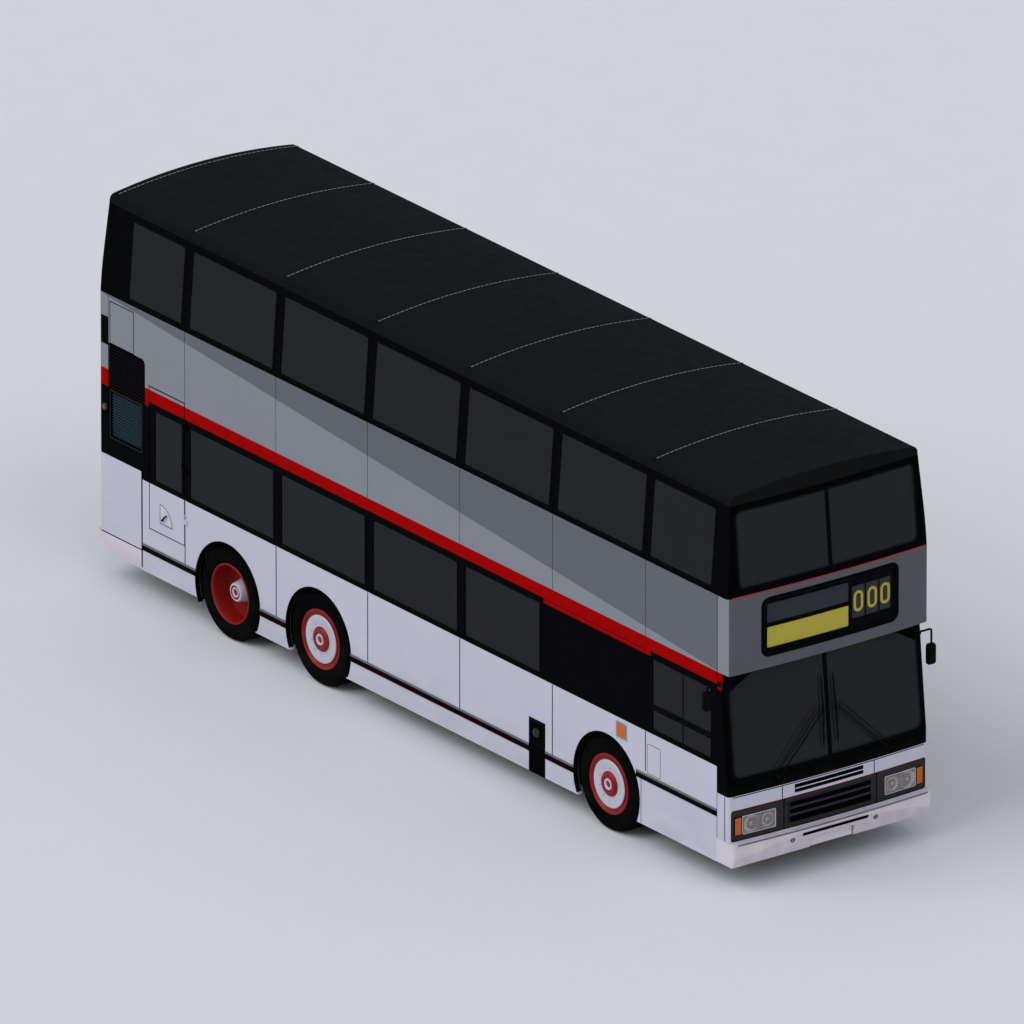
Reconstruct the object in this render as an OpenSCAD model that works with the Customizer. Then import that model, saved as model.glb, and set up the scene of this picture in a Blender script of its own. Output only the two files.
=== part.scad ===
// Three-axle double decker bus, right-hand drive, in millimetres.
// +X points forward, +Y to the nearside, +Z up; the origin is on the ground under the middle.

/* [Body shell] */
// Length of the body between its front and rear corners
body_l = 10594; // [9500:2:12800]
// Width of the body over the side panels
body_w = 2500; // [2300:2:3000]
// Height of the roof's crown above the ground
roof_z = 4270; // [4200:1:4500]
// Thickness of the side, front and rear walls
wall_t = 50; // [35:1:60]
// Height of the waist line under the upper windows
waist_z = 3140; // [3100:1:3170]
// How far each side leans in between waist and cant rail
tumble = 75; // [0:1:120]
// Height of the cant rail, where the sides meet the roof
cant_z = 4100; // [4050:1:4140]
// Outside radius along the cant rail
cant_r = 60; // [20:1:80]
// Drop of the roof from its crown to the cant rails
crown_drop = 85; // [20:1:110]
// Forward bow of the front at the middle of the bus
front_bow = 45; // [10:1:80]
// Backward bow of the rear at the middle of the bus
rear_bow = 30; // [5:1:60]
// Plan radius of the four body corners
corner_r = 40; // [10:1:90]

/* [Front] */
// Length of the corner panels along each side at the front
corner_l = 194; // [150:1:240]
// Height of the lower windscreen's foot
screen_z = 1165; // [1100:1:1250]
// Height of the brow's underside
brow_z = 2315; // [2280:1:2360]
// How far the lower windscreen's top lies behind the brow
screen_rake = 120; // [0:1:160]
// How far the upper windscreen leans back up to the cant rail
upper_rake = 90; // [0:1:140]
// Front overhang, from the front corner to the first axle
front_axle_d = 2025; // [1960:1:2300]
// How far the front bumper's lip stands out of the front
front_lip = 79; // [40:1:120]
// Height of the front bumper's top edge
bumper_top = 516; // [480:1:525]

/* [Rear] */
// Length of the corner panels along each side at the rear
rear_corner_l = 162; // [120:1:220]
// Rear overhang, from the last axle to the rear corner
rear_axle_d = 2184; // [2100:1:2500]
// How far the rear bumper stands out of the rear
rear_lip = 41; // [20:1:80]
// Height of the engine lid's top edge
lid_top = 1800; // [1400:1:2000]
// Half width of the engine lid
lid_half = 1020; // [700:1:1080]

/* [Axles and wheels] */
// Distance between the two rear axles
tandem = 1540; // [1300:1:1800]
// Outside radius of the tyres
tyre_r = 500; // [440:1:510]
// Width of one tyre
tyre_w = 280; // [220:1:300]
// Radius of the rims
rim_r = 318; // [270:1:330]
// Radius of the wheel arches in the sides
arch_r = 541; // [520:1:600]
// How far the wheels' outer faces lie inside the body side
wheel_inset = 20; // [0:1:60]
// Distance between the kingpins
kingpin_track = 1720; // [1600:2:1800]
// Radius of the kingpins
kingpin_r = 25; // [18:0.5:30]
// Radius of the stub axles
stub_r = 45; // [30:0.5:55]
// Radial clearance of a shaft in its bore
running_gap = 0.1; // [0.02:0.01:0.1]

/* [Decks] */
// Height of the lower deck's floor at the front
low_floor_z = 680; // [660:1:700]
// Height of the lower deck's floor over the rear axles
high_floor_z = 800; // [790:1:840]
// Height of the upper deck's floor
upper_floor_z = 2440; // [2420:1:2470]
// Thickness of the lower floor
floor_t = 40; // [20:1:50]
// Thickness of the upper floor
deck_t = 60; // [40:1:80]
// Spacing of the seat rows
seat_pitch = 750; // [680:1:900]

/* [Windows] */
// Sill height of the lower windows
low_sill_z = 1341; // [1320:1:1400]
// Top of the lower windows
low_top_z = 2109; // [2000:1:2130]
// Sill height of the upper windows
up_sill_z = 3188; // [3175:1:3250]
// Top of the upper windows
up_top_z = 4020; // [3800:1:4040]
// Corner radius of the side windows
pane_r = 25; // [5:1:60]
// Thickness of the glass
glass_t = 8; // [4:1:12]

/* [Doors] */
// Gap round the edge of a door or lid
door_gap = 6; // [5:0.5:12]
// Thickness of the entrance door's leaves
leaf_t = 35; // [25:1:40]
// Sill height of the entrance
entry_z = 340; // [320:1:360]
// Top of the entrance
entry_top = 2190; // [2100:1:2220]
// Sill height of the emergency door
exit_z = 791; // [780:1:800]
// Top of the emergency door
exit_top = 2360; // [2250:1:2370]
// Width of the emergency door's opening
exit_w = 615; // [550:1:650]

/* [Hidden] */
$fn = 48;
// Clearance between pieces that only rest against each other
fit = 0.3;
half_w = body_w / 2;
inner_y = half_w - wall_t;
// Front and rear corners of the body, placed so that the whole bus is centred on X
face_x = body_l / 2 - (front_lip + front_bow - rear_lip - rear_bow) / 2;
rear_x = face_x - body_l;
front_axle_x = face_x - front_axle_d;
rear_axle_x = rear_x + rear_axle_d;
middle_axle_x = rear_axle_x + tandem;
front_end = face_x - corner_l;
rear_end = rear_x + rear_corner_l;
deep = 600;
// Height where the lower side panels stop and the upper ones start
split_z = upper_floor_z - deck_t;
screen_lean = atan(screen_rake / (brow_z - screen_z));
upper_lean = atan(upper_rake / (cant_z - waist_z));

// Bays: pillar lines, counted back from the front corner
bay_start = 1378;
bay_end = body_l - 1459;
bay_count = 5;
bay_l = (bay_end - bay_start) / bay_count;
pillar = 62;
function back(d) = face_x - d;
function bay(i) = back(bay_start + i * bay_l);

// Skirts: bottom edges of the side panels
skirt_z = 238;
door_skirt_z = 268;
tail_skirt_z = 303;

// Every pane as [rear end, front end] along X
upper_panes = concat([[bay(0) + 49, back(297)]],
  [for (i = [0 : bay_count - 1]) [bay(i + 1) + pillar, bay(i) - pillar]],
  [[rear_x + 491, bay(bay_count) - pillar]]);
low_front_gap = 42;
low_rear_gap = 83;
cab_pane = [back(1268), back(288)];
lower_panes_right = concat([cab_pane, [bay(2) + low_rear_gap, bay(1) - 209]],
  [for (i = [2 : bay_count - 1]) [bay(i + 1) + low_rear_gap, bay(i) - low_front_gap]]);
lower_panes_left = concat([[bay(bay_count) - 518, bay(bay_count) - pillar]],
  [for (i = [0 : bay_count - 1]) [bay(i + 1) + low_rear_gap, bay(i) - (i == 0 ? 75 : low_front_gap)]]);
exit_pane = [bay(bay_count) - 518, bay(bay_count) - 44];

// Entrance, between the front corner panel and the first pillar
entry_front = front_end;
entry_rear = bay(0) + 38;
// The emergency door hangs on its forward edge
exit_front = bay(bay_count);
exit_rear = exit_front - exit_w;

hinge_r = 9;
hinge_pin_r = 4;
hinge_h = 50;
hinge_plate = 14;
leaf_pin_r = 10;
leaf_y = half_w - 10 - leaf_t / 2;
leaf_pivot_x = entry_front - 28;
leaf_z0 = entry_z + 20;
leaf_z1 = entry_top - 12;
leaf_l = (leaf_pivot_x - entry_rear - 18) / 2;
leaf_border = 60;
leaf_fold_x = leaf_pivot_x - leaf_l;
fold_hinges = [leaf_z0 + 200, (leaf_z0 + leaf_z1) / 2, leaf_z1 - 300];
leaf_pane_z0 = leaf_z0 + 180;
leaf_pane_z1 = leaf_z1 - 120;
fold_hinge_y = leaf_y + leaf_t / 2 + hinge_r + 1;

// ---------------------------------------------------------------- helpers

module along_x(x0, x1) translate([x0, 0, 0]) rotate([90, 0, 90]) linear_extrude(x1 - x0) children();
module along_y(y0, y1) translate([0, y1, 0]) rotate([90, 0, 0]) linear_extrude(y1 - y0) children();
module block(a, b) translate(a) cube(b - a);
module rounded(a, b, r) translate([a[0] + r, a[1] + r]) offset(r = r) square([b[0] - a[0] - 2 * r, b[1] - a[1] - 2 * r]);
// A rounded opening through one side, from height z0 to z1
module side_hole(span, z0, z1, r, side) {
  y = side * half_w;
  along_y(min(y, 0.7 * y) - 60 * (1 - side), max(y, 0.7 * y) + 60 * (1 + side))
    rounded([span[0], z0], [span[1], z1], r);
}
module mirrored(side) {
  if (side > 0) children();
  else mirror([0, 1, 0]) children();
}

// ---------------------------------------------------------------- body shape

// Cross-section of the body, d inside its outer surface
module section(d) {
  edge_y = half_w - tumble;
  offset(delta = -d) offset(r = cant_r) offset(delta = -cant_r)
    polygon(concat([[-edge_y - 3, cant_z], [-half_w, waist_z], [-half_w, -deep],
      [half_w, -deep], [half_w, waist_z], [edge_y + 3, cant_z]],
      [for (i = [8 : -1 : -8]) let (y = edge_y * i / 8)
        [y, roof_z - crown_drop * pow(y / edge_y, 2)]]));
}
// Plan of the front end, bowed forward, with rounded corners
module front_plan(d, out = 0) {
  offset(delta = -d) offset(r = corner_r) offset(delta = -corner_r)
    polygon(concat([[0, half_w], [0, -half_w]],
      [for (i = [-10 : 10]) let (y = half_w * i / 10)
        [face_x + out + front_bow * (1 - pow(y / half_w, 2)), y]]));
}
module rear_plan(d, out = 0) {
  offset(delta = -d) offset(r = corner_r) offset(delta = -corner_r)
    polygon(concat([[0, -half_w], [0, half_w]],
      [for (i = [10 : -1 : -10]) let (y = half_w * i / 10)
        [rear_x - out - rear_bow * (1 - pow(y / half_w, 2)), y]]));
}
// One storey of an end, upright or leaning from its foot
storey_from = 2000;
module storey(z0, z1, lean, side) {
  h = z1 - z0;
  intersection() {
    translate([side * (storey_from + body_l / 2), 0, z0 + h / 2]) cube([body_l, 3 * half_w, h], center = true);
    translate([side > 0 ? face_x : rear_x, 0, z0]) rotate([0, -side * lean, 0])
      translate([side > 0 ? -face_x : -rear_x, 0, -deep]) linear_extrude(h + 2 * deep) children();
  }
}
module front_end_solid(d) {
  intersection() {
    along_x(front_end - 400, face_x + 400) section(d);
    union() {
      storey(-deep, screen_z, 0, 1) front_plan(d);
      storey(screen_z, brow_z + d, screen_lean, 1) front_plan(d);
      storey(brow_z + d, waist_z, 0, 1) front_plan(d);
      storey(waist_z, roof_z + 100, upper_lean, 1) front_plan(d);
    }
  }
}
module rear_end_solid(d) {
  intersection() {
    along_x(rear_x - 400, rear_end + 400) section(d);
    union() {
      storey(-deep, waist_z, 0, -1) rear_plan(d);
      storey(waist_z, roof_z + 100, upper_lean, -1) rear_plan(d);
    }
  }
}
// Part of the front wall between two heights
module front_wall(z0, z1, outer = 0, inner = wall_t) {
  intersection() {
    difference() {
      front_end_solid(outer);
      front_end_solid(inner);
    }
    block([front_end, -2 * half_w, z0], [face_x + 400, 2 * half_w, z1]);
  }
}
module rear_wall(z0, z1, outer = 0, inner = wall_t) {
  intersection() {
    difference() {
      rear_end_solid(outer);
      rear_end_solid(inner);
    }
    block([rear_x - 400, -2 * half_w, z0], [rear_end, 2 * half_w, z1]);
  }
}
// Part of one side wall between two stations and two heights
module side_wall(x0, x1, z0, z1, side, outer = 0, inner = wall_t) {
  along_x(x0, x1) intersection() {
    difference() {
      section(outer);
      section(inner);
    }
    translate([side > 0 ? 0.6 * half_w : -2 * half_w, z0]) square([1.4 * half_w, z1 - z0]);
  }
}

// ---------------------------------------------------------------- body panels

module wheel_arches(side) {
  for (x = [front_axle_x, middle_axle_x, rear_axle_x])
    translate([x, side * half_w, tyre_r]) rotate([90, 0, 0]) cylinder(r = arch_r, h = 6 * wall_t, center = true);
}
// Cuts the skirts to their stepped bottom edges
module skirt_cut(side) {
  y0 = side > 0 ? 0.6 * half_w : -2 * half_w;
  y1 = side > 0 ? 2 * half_w : -0.6 * half_w;
  block([front_axle_x, y0, -deep], [face_x, y1, door_skirt_z]);
  block([rear_axle_x, y0, -deep], [front_axle_x, y1, skirt_z]);
  block([rear_x, y0, -deep], [rear_axle_x, y1, tail_skirt_z]);
  block([rear_x - 100, y0, -deep], [rear_x + 724, y1, 519]);
}
module lower_side(side, panes) {
  difference() {
    side_wall(rear_end, front_end, skirt_z, split_z, side);
    wheel_arches(side);
    skirt_cut(side);
    for (p = panes)
      side_hole(p, low_sill_z, low_top_z, pane_r, side);
    children();
  }
}
// Shallow recess for a grille in the offside rear corner
module grille_recess(x0, x1, z0, z1, depth) {
  block([x0, -half_w - 10, z0], [x1, -half_w + depth, z1]);
}
module rear_grille_recesses() {
  grille_recess(rear_x + 191, rear_x + 735, 1585, 2106, 25);
  grille_recess(rear_x + 164, rear_x + 770, 2135, 2597, 12);
}

exit_hinge_y = -half_w - hinge_r - 1;
exit_hinges = [exit_z + 250, (exit_z + exit_top) / 2, exit_top - 300];
// Lower half of a hinge, with the pin; it stands on the fixed piece
module hinge_pin() {
  cylinder(r = hinge_r, h = hinge_h);
  cylinder(r = hinge_pin_r, h = 2 * hinge_h - 5);
}
// Upper half of a hinge, bored for the pin; it hangs on the moving piece
module hinge_sleeve() {
  translate([0, 0, hinge_h + fit]) difference() {
    cylinder(r = hinge_r, h = hinge_h);
    translate([0, 0, -1]) cylinder(r = hinge_pin_r + running_gap, h = hinge_h + 2);
  }
}
exit_hinge_x = exit_front - door_gap / 2;
module exit_hinge_fixed(z) {
  translate([exit_hinge_x, exit_hinge_y, z]) {
    hinge_pin();
    translate([0, -3, 0]) cube([45, hinge_plate, hinge_h]);
  }
}
module lower_side_left() {
  color("gainsboro") difference() {
    lower_side(1, lower_panes_left);
    block([entry_rear, 0.6 * half_w, -deep], [entry_front + 1, 2 * half_w, entry_top]);
    translate([leaf_pivot_x, leaf_y, entry_top - 1]) cylinder(r = leaf_pin_r + running_gap, h = 25);
  }
}
module lower_side_right() {
  color("gainsboro") {
    difference() {
      lower_side(-1, lower_panes_right);
      block([exit_rear, -2 * half_w, exit_z], [exit_front, -0.6 * half_w, exit_top]);
      rear_grille_recesses();
    }
    for (z = exit_hinges)
      exit_hinge_fixed(z);
  }
}
module upper_side(side) {
  difference() {
    side_wall(rear_end, front_end, split_z, cant_z, side);
    for (p = upper_panes)
      side_hole(p, up_sill_z, up_top_z, pane_r, side);
    if (side < 0)
      rear_grille_recesses();
  }
}
module upper_side_left() color("silver") upper_side(1);
module upper_side_right() color("silver") upper_side(-1);
module roof() {
  color("dimgray") intersection() {
    union() {
      difference() {
        along_x(rear_end - fit, front_end + fit) section(0);
        along_x(rear_end - 1, front_end + 1) section(wall_t);
      }
      difference() {
        intersection() {
          front_end_solid(0);
          block([front_end, -2 * half_w, 0], [face_x + 400, 2 * half_w, roof_z + 10]);
        }
        front_end_solid(wall_t);
      }
      difference() {
        intersection() {
          rear_end_solid(0);
          block([rear_x - 400, -2 * half_w, 0], [rear_end, 2 * half_w, roof_z + 10]);
        }
        rear_end_solid(wall_t);
      }
    }
    block([rear_x - 400, -2 * half_w, cant_z], [face_x + 400, 2 * half_w, roof_z + 10]);
  }
}

// ---------------------------------------------------------------- front

lamp_z0 = 529;
lamp_z1 = 853;
lamp_half = 1215;
lamp_depth = 30;
screen_half = 1195;
screen_foot = 1176;
screen_top = 2285;
upper_half = 1130;
upper_foot = 3212;
upper_top = 4040;
mullion = 50;
blind_half = 840;
blind_z0 = 2452;
blind_z1 = 3050;
blind_back = face_x - 220;
// Openings of the front, as [half width, foot, top, corner radius]
module front_hole(half, z0, z1, r) {
  along_x(front_end + corner_l / 2, face_x + 400) rounded([-half, z0], [half, z1], r);
}
module front_lower_panel() {
  color("gainsboro") difference() {
    front_wall(bumper_top, brow_z);
    front_hole(screen_half, screen_foot, screen_top, 100);
    intersection() {
      front_hole(lamp_half, lamp_z0, lamp_z1, 20);
      difference() {
        front_end_solid(-10);
        front_end_solid(lamp_depth);
      }
    }
  }
}
module front_upper_panel() {
  color("darkslategray") {
    difference() {
      front_wall(brow_z, cant_z);
      front_hole(upper_half, upper_foot, upper_top, 80);
      front_hole(blind_half, blind_z0, blind_z1, 75);
    }
    // Box behind the destination glass
    difference() {
      intersection() {
        block([blind_back, -blind_half - 7, blind_z0 - 7], [face_x + 10, blind_half + 7, blind_z1 + 7]);
        front_end_solid(wall_t - 2);
      }
      block([blind_back + 8, -blind_half, blind_z0], [face_x + 100, blind_half, blind_z1]);
    }
  }
}
// One pane of glass, set into the wall in the shape of the wall itself
module front_glass(inset) {
  difference() {
    front_end_solid(inset);
    front_end_solid(inset + glass_t);
  }
}
module windscreens() {
  color("slategray", 0.5) {
    intersection() {
      front_glass(6);
      difference() {
        union() {
          front_hole(screen_half - fit, screen_foot + fit, screen_top - fit, 100);
          front_hole(upper_half - fit, upper_foot + fit, upper_top - fit, 80);
        }
        block([0, -mullion / 2, 0], [face_x + 400, mullion / 2, roof_z]);
      }
    }
    intersection() {
      front_glass(4);
      front_hole(blind_half - fit, blind_z0 + fit, blind_z1 - fit, 75);
    }
  }
}
module front_lamps() {
  color("dimgray") intersection() {
    difference() {
      front_end_solid(fit);
      front_end_solid(lamp_depth - fit);
    }
    front_hole(lamp_half - fit, lamp_z0 + fit, lamp_z1 - fit, 20);
  }
}
bumper_foot = 270;
tow_y = 520;
tow_z = 420;
tow_r = 18;
tow_l = 120;
plate_half = 270;
plate_top = 392;
module front_bumper() {
  color("lightgray") difference() {
    intersection() {
      translate([0, 0, bumper_foot]) linear_extrude(bumper_top - bumper_foot) front_plan(0, front_lip);
      along_y(-half_w, half_w) polygon([[front_end, bumper_foot], [front_end, bumper_top],
        [face_x + front_lip + front_bow, bumper_top], [face_x + front_lip + front_bow, bumper_top - 30],
        [face_x + front_bow + 12, bumper_foot]]);
    }
    translate([0, 0, bumper_foot - 1]) linear_extrude(bumper_top - bumper_foot + 2) front_plan(wall_t);
    for (s = [-1, 1])
      translate([face_x - 100, s * tow_y, tow_z]) rotate([0, 90, 0]) cylinder(r = tow_r + 6, h = 400);
    // Recess for the number plate
    block([face_x + front_bow, -plate_half, bumper_foot - 1], [face_x + 400, plate_half, plate_top]);
  }
}
module wiper(side) {
  pivot = [face_x + front_bow * (1 - pow(652 / half_w, 2)) + fit, side * 670, 1130];
  translate(pivot) rotate([0, 90, 0]) cylinder(r = 18, h = 50);
  hull() {
    translate([face_x + 76, side * 670, 1130]) sphere(r = 10, $fn = 16);
    translate([face_x + 14, side * 95, 1690]) sphere(r = 10, $fn = 16);
  }
  hull() {
    translate([face_x + 42, side * 90, 1310]) sphere(r = 9, $fn = 16);
    translate([face_x - 26, side * 75, 2040]) sphere(r = 9, $fn = 16);
  }
}
module wipers() {
  color("black") {
    wiper(1);
    wiper(-1);
  }
}
mirror_x = back(150);
mirror_out = 158;
mirror_y = half_w + mirror_out;
mirror_w = 105;
mirror_d = 56;
arm_r = 11;
// Foot and top of each mirror's head and the height of its arm, offside and nearside
mirror_levels = [[1940, 2145, 2190], [1765, 1990, 2150]];
// A mirror head on a tube that leaves the brow's corner
module mirror_unit(side) {
  level = mirror_levels[side > 0 ? 1 : 0];
  arm_z = level[2];
  mirrored(side) {
    translate([mirror_x - mirror_d / 2, mirror_y - mirror_w / 2, level[0]]) rotate([90, 0, 90])
      linear_extrude(mirror_d) rounded([0, 0], [mirror_w, level[1] - level[0]], 35);
    translate([mirror_x, mirror_y, level[1] - 10]) cylinder(r = arm_r, h = arm_z - level[1] + 10);
    translate([mirror_x, mirror_y, arm_z]) sphere(r = arm_r + 2);
    translate([mirror_x, half_w - 2 * fit + 3, arm_z]) rotate([-90, 0, 0]) cylinder(r = arm_r, h = mirror_y - half_w - 2);
    translate([mirror_x, half_w + fit, arm_z]) rotate([-90, 0, 0]) cylinder(r = 30, h = 14);
  }
}
module mirrors() {
  color("black") {
    mirror_unit(1);
    mirror_unit(-1);
  }
}

// ---------------------------------------------------------------- rear

lid_z0 = 530;
lid_t = 40;
lid_hinge_x = rear_x - rear_bow - 6;
lid_hinge_z = lid_top + 6;
rear_glass_half = 880;
rear_glass_z1 = 3950;
module rear_hole(half, z0, z1, r) {
  along_x(rear_x - 400, rear_end - corner_r) rounded([-half, z0], [half, z1], r);
}
module lid_hinge(part) {
  for (y = [-700, 600])
    translate([lid_hinge_x, y, lid_hinge_z]) rotate([-90, 0, 0]) {
      if (part == "pin") {
        hinge_pin();
        translate([-2, -22, 0]) cube([30, 22, hinge_h]);
      } else {
        hinge_sleeve();
        translate([-2, 5, hinge_h + fit]) cube([9, 22, hinge_h]);
        translate([-2, 13, hinge_h + fit]) cube([24, 14, hinge_h]);
      }
    }
}
module rear_panel() {
  color("gainsboro") {
    difference() {
      rear_wall(519, cant_z);
      rear_hole(lid_half, lid_z0 - 20, lid_top, 5);
      rear_hole(rear_glass_half, up_sill_z, rear_glass_z1, 60);
    }
    lid_hinge("pin");
  }
}
module engine_lid() {
  color("gainsboro") {
    intersection() {
      difference() {
        rear_end_solid(1);
        rear_end_solid(lid_t);
      }
      rear_hole(lid_half - door_gap, lid_z0, lid_top - door_gap, 5);
    }
    lid_hinge("sleeve");
  }
}
module rear_bumper() {
  color("lightgray") difference() {
    intersection() {
      translate([0, 0, 306]) linear_extrude(518 - 306) rear_plan(0, rear_lip);
      along_y(-half_w, half_w) polygon([[rear_x + 724, 306], [rear_x + 724, 518],
        [rear_x - 200, 518], [rear_x - 200, 334], [rear_x, 334]]);
    }
    translate([0, 0, 305]) linear_extrude(214) rear_plan(wall_t);
  }
}

// ---------------------------------------------------------------- glass

module side_glass(side) {
  intersection() {
    side_wall(rear_end, front_end, low_sill_z - 100, up_top_z + 50, side, 6, 6 + glass_t);
    union() {
      for (p = upper_panes)
        side_hole([p[0] + fit, p[1] - fit], up_sill_z + fit, up_top_z - fit, pane_r, side);
      for (p = (side > 0 ? lower_panes_left : lower_panes_right))
        side_hole([p[0] + fit, p[1] - fit], low_sill_z + fit, low_top_z - fit, pane_r, side);
    }
  }
}
module side_windows() {
  color("slategray", 0.5) {
    side_glass(1);
    side_glass(-1);
    intersection() {
      difference() {
        rear_end_solid(6);
        rear_end_solid(6 + glass_t);
      }
      rear_hole(rear_glass_half - fit, up_sill_z + fit, rear_glass_z1 - fit, 60);
    }
  }
}

// ---------------------------------------------------------------- decks

bulkhead_x = rear_x + 774;
step_x = middle_axle_x + 620;
box_top = 2 * tyre_r + 60;
box_t = 8;
steer_box_half = 650;
box_half = 560;
steer_box_y = 610;
wheel_out = half_w - wheel_inset;
twin_gap = 30;
twin_span = 2 * tyre_w + twin_gap;
single_box_y = wheel_out - tyre_w - 50;
twin_box_y = wheel_out - twin_span - 30;
rail_out = 470;
rail_in = 400;
floor_y = inner_y - fit;
// Hollow box over a wheel, open to the outside
module wheel_box(x, half, y_in, side) {
  mirrored(side) difference() {
    block([x - half - box_t, y_in - box_t, low_floor_z - floor_t], [x + half + box_t, floor_y, box_top + box_t]);
    block([x - half, y_in, 0], [x + half, 2 * half_w, box_top]);
  }
}
module wheel_well(x, half, y_in, side) {
  mirrored(side) block([x - half, y_in, 0], [x + half, 2 * half_w, box_top]);
}
module each_wheel_box() {
  for (s = [-1, 1]) {
    wheel_box(front_axle_x, steer_box_half, steer_box_y, s);
    wheel_box(middle_axle_x, box_half, single_box_y, s);
    wheel_box(rear_axle_x, box_half, twin_box_y, s);
  }
}
module each_wheel_well() {
  for (s = [-1, 1]) {
    wheel_well(front_axle_x, steer_box_half, steer_box_y, s);
    wheel_well(middle_axle_x, box_half, single_box_y, s);
    wheel_well(rear_axle_x, box_half, twin_box_y, s);
  }
}
front_floor_x = face_x - wall_t - 30;
step_one_y = leaf_y - leaf_l - 30;
step_two_y = rail_out + 30;
step_two_z = (entry_z + low_floor_z) / 2;
module entrance_steps() {
  x0 = entry_rear + 12;
  x1 = entry_front;
  block([x0, step_one_y, entry_z - 30], [x1, inner_y - fit, entry_z]);
  block([x0, step_one_y - 20, entry_z - 30], [x1, step_one_y, step_two_z]);
  block([x0, step_two_y, step_two_z - 20], [x1, step_one_y, step_two_z]);
  block([x0, step_two_y - 20, step_two_z - 20], [x1, step_two_y, low_floor_z]);
  for (x = [x0, x1 - 20])
    block([x, step_two_y - 20, entry_z - 30], [x + 20, step_one_y + 40, low_floor_z]);
}
module lower_floor() {
  color("gray") {
    difference() {
      union() {
        block([step_x, -floor_y, low_floor_z - floor_t], [front_floor_x, floor_y, low_floor_z]);
        block([bulkhead_x, -floor_y, high_floor_z - floor_t], [step_x, floor_y, high_floor_z]);
        block([step_x - 20, -floor_y, low_floor_z - floor_t], [step_x, floor_y, high_floor_z]);
        block([bulkhead_x - 30, -floor_y, high_floor_z - floor_t], [bulkhead_x, floor_y, split_z - fit]);
        each_wheel_box();
      }
      each_wheel_well();
      block([entry_rear + 12, step_two_y, 0], [entry_front, 2 * half_w, low_floor_z + 100]);
      block([exit_rear, -half_w, 0], [exit_front, -floor_y + door_gap, exit_top]);
    }
    entrance_steps();
  }
}
stair_front = back(1440);
stair_steps = 8;
stair_going = 210;
stair_rise = (upper_floor_z - low_floor_z) / stair_steps;
stair_rear = stair_front - stair_steps * stair_going;
stair_in = -620;
module upper_floor() {
  color("gray") difference() {
    block([rear_end, -floor_y, split_z], [front_floor_x - 30, floor_y, upper_floor_z]);
    block([stair_rear + 100, -floor_y + 20, 0], [stair_front + 20, stair_in + 40, roof_z]);
  }
}
// The stairs climb forward over the offside front wheel box
module staircase() {
  lift = box_top + box_t + 10;
  color("darkgray") along_y(-floor_y + 30, stair_in)
    polygon(concat([[stair_rear, low_floor_z]],
      [for (i = [0 : stair_steps - 1]) each
        [[stair_rear + i * stair_going, low_floor_z + (i + 1) * stair_rise],
         [stair_rear + (i + 1) * stair_going, low_floor_z + (i + 1) * stair_rise]]],
      [[stair_front, upper_floor_z - deck_t], [front_axle_x - steer_box_half - 20, lift],
       [front_axle_x - steer_box_half - 20, low_floor_z]]));
}

// ---------------------------------------------------------------- seats

seat_w = 860;
seat_d = 430;
seat_h = 450;
back_h = 620;
back_lean = 8;
cushion_t = 90;
back_t = 70;
aisle_half = 300;
// A seat of width w facing forward; its cushion's rear edge is at the origin, on the floor
module seat(w) {
  translate([0, 0, seat_h - cushion_t]) cube([seat_d, w, cushion_t]);
  translate([30, 0, seat_h - cushion_t + 12]) rotate([0, -back_lean, 0]) translate([-back_t, 0, 0])
    cube([back_t, w, back_h + cushion_t]);
  translate([40, 30, 0]) cube([seat_d - 140, 50, seat_h - cushion_t]);
}
module seat_row(x, z, side) {
  mirrored(side) translate([x, aisle_half, z + fit]) seat(seat_w);
}
lower_rows = 8;
first_low_row = 4000;
module lower_seats() {
  color("steelblue") for (i = [0 : lower_rows - 1], s = [-1, 1]) {
    x = back(first_low_row + i * seat_pitch);
    if (x + seat_d < step_x - 20)
      if (x > bulkhead_x + 700)
        seat_row(x, high_floor_z, s);
    if (x - 120 > step_x)
      seat_row(x, low_floor_z, s);
  }
}
first_up_row = 1350;
upper_rows = 12;
module upper_seats() {
  color("steelblue") for (i = [0 : upper_rows - 1]) {
    x = back(first_up_row + i * seat_pitch);
    if (x > rear_end + 300) {
      seat_row(x, upper_floor_z, 1);
      if (x > stair_front + 100 || x + seat_d < stair_rear + 60)
        seat_row(x, upper_floor_z, -1);
    }
  }
}
driver_y = -640;
driver_w = 480;
module driver_seat() {
  color("darkslategray") translate([back(1290), driver_y - driver_w / 2, low_floor_z + fit]) {
    translate([60, 120, 0]) cube([290, driver_w - 240, 370]);
    translate([0, 0, 360]) cube([450, driver_w, 100]);
    translate([42, 0, 378]) rotate([0, -10, 0]) {
      translate([-80, 5, 0]) cube([80, driver_w - 10, 640]);
      translate([-70, 110, 630]) cube([60, driver_w - 220, 200]);
    }
  }
}
wheel_rim_r = 230;
module driver_console() {
  color("dimgray") {
    block([back(420), -floor_y + 20, low_floor_z + fit], [back(150), -150, 1120]);
    translate([back(430), driver_y, 1000]) rotate([0, -40, 0]) {
      cylinder(r = 22, h = 250);
      translate([0, 0, 245]) cylinder(r = 60, h = 20);
      translate([0, 0, 255]) rotate_extrude() translate([wheel_rim_r, 0]) circle(r = 14);
      for (a = [90, 210, 330])
        rotate([0, 0, a]) translate([40, -12, 250]) cube([wheel_rim_r - 45, 24, 10]);
    }
  }
}

// ---------------------------------------------------------------- chassis

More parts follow.
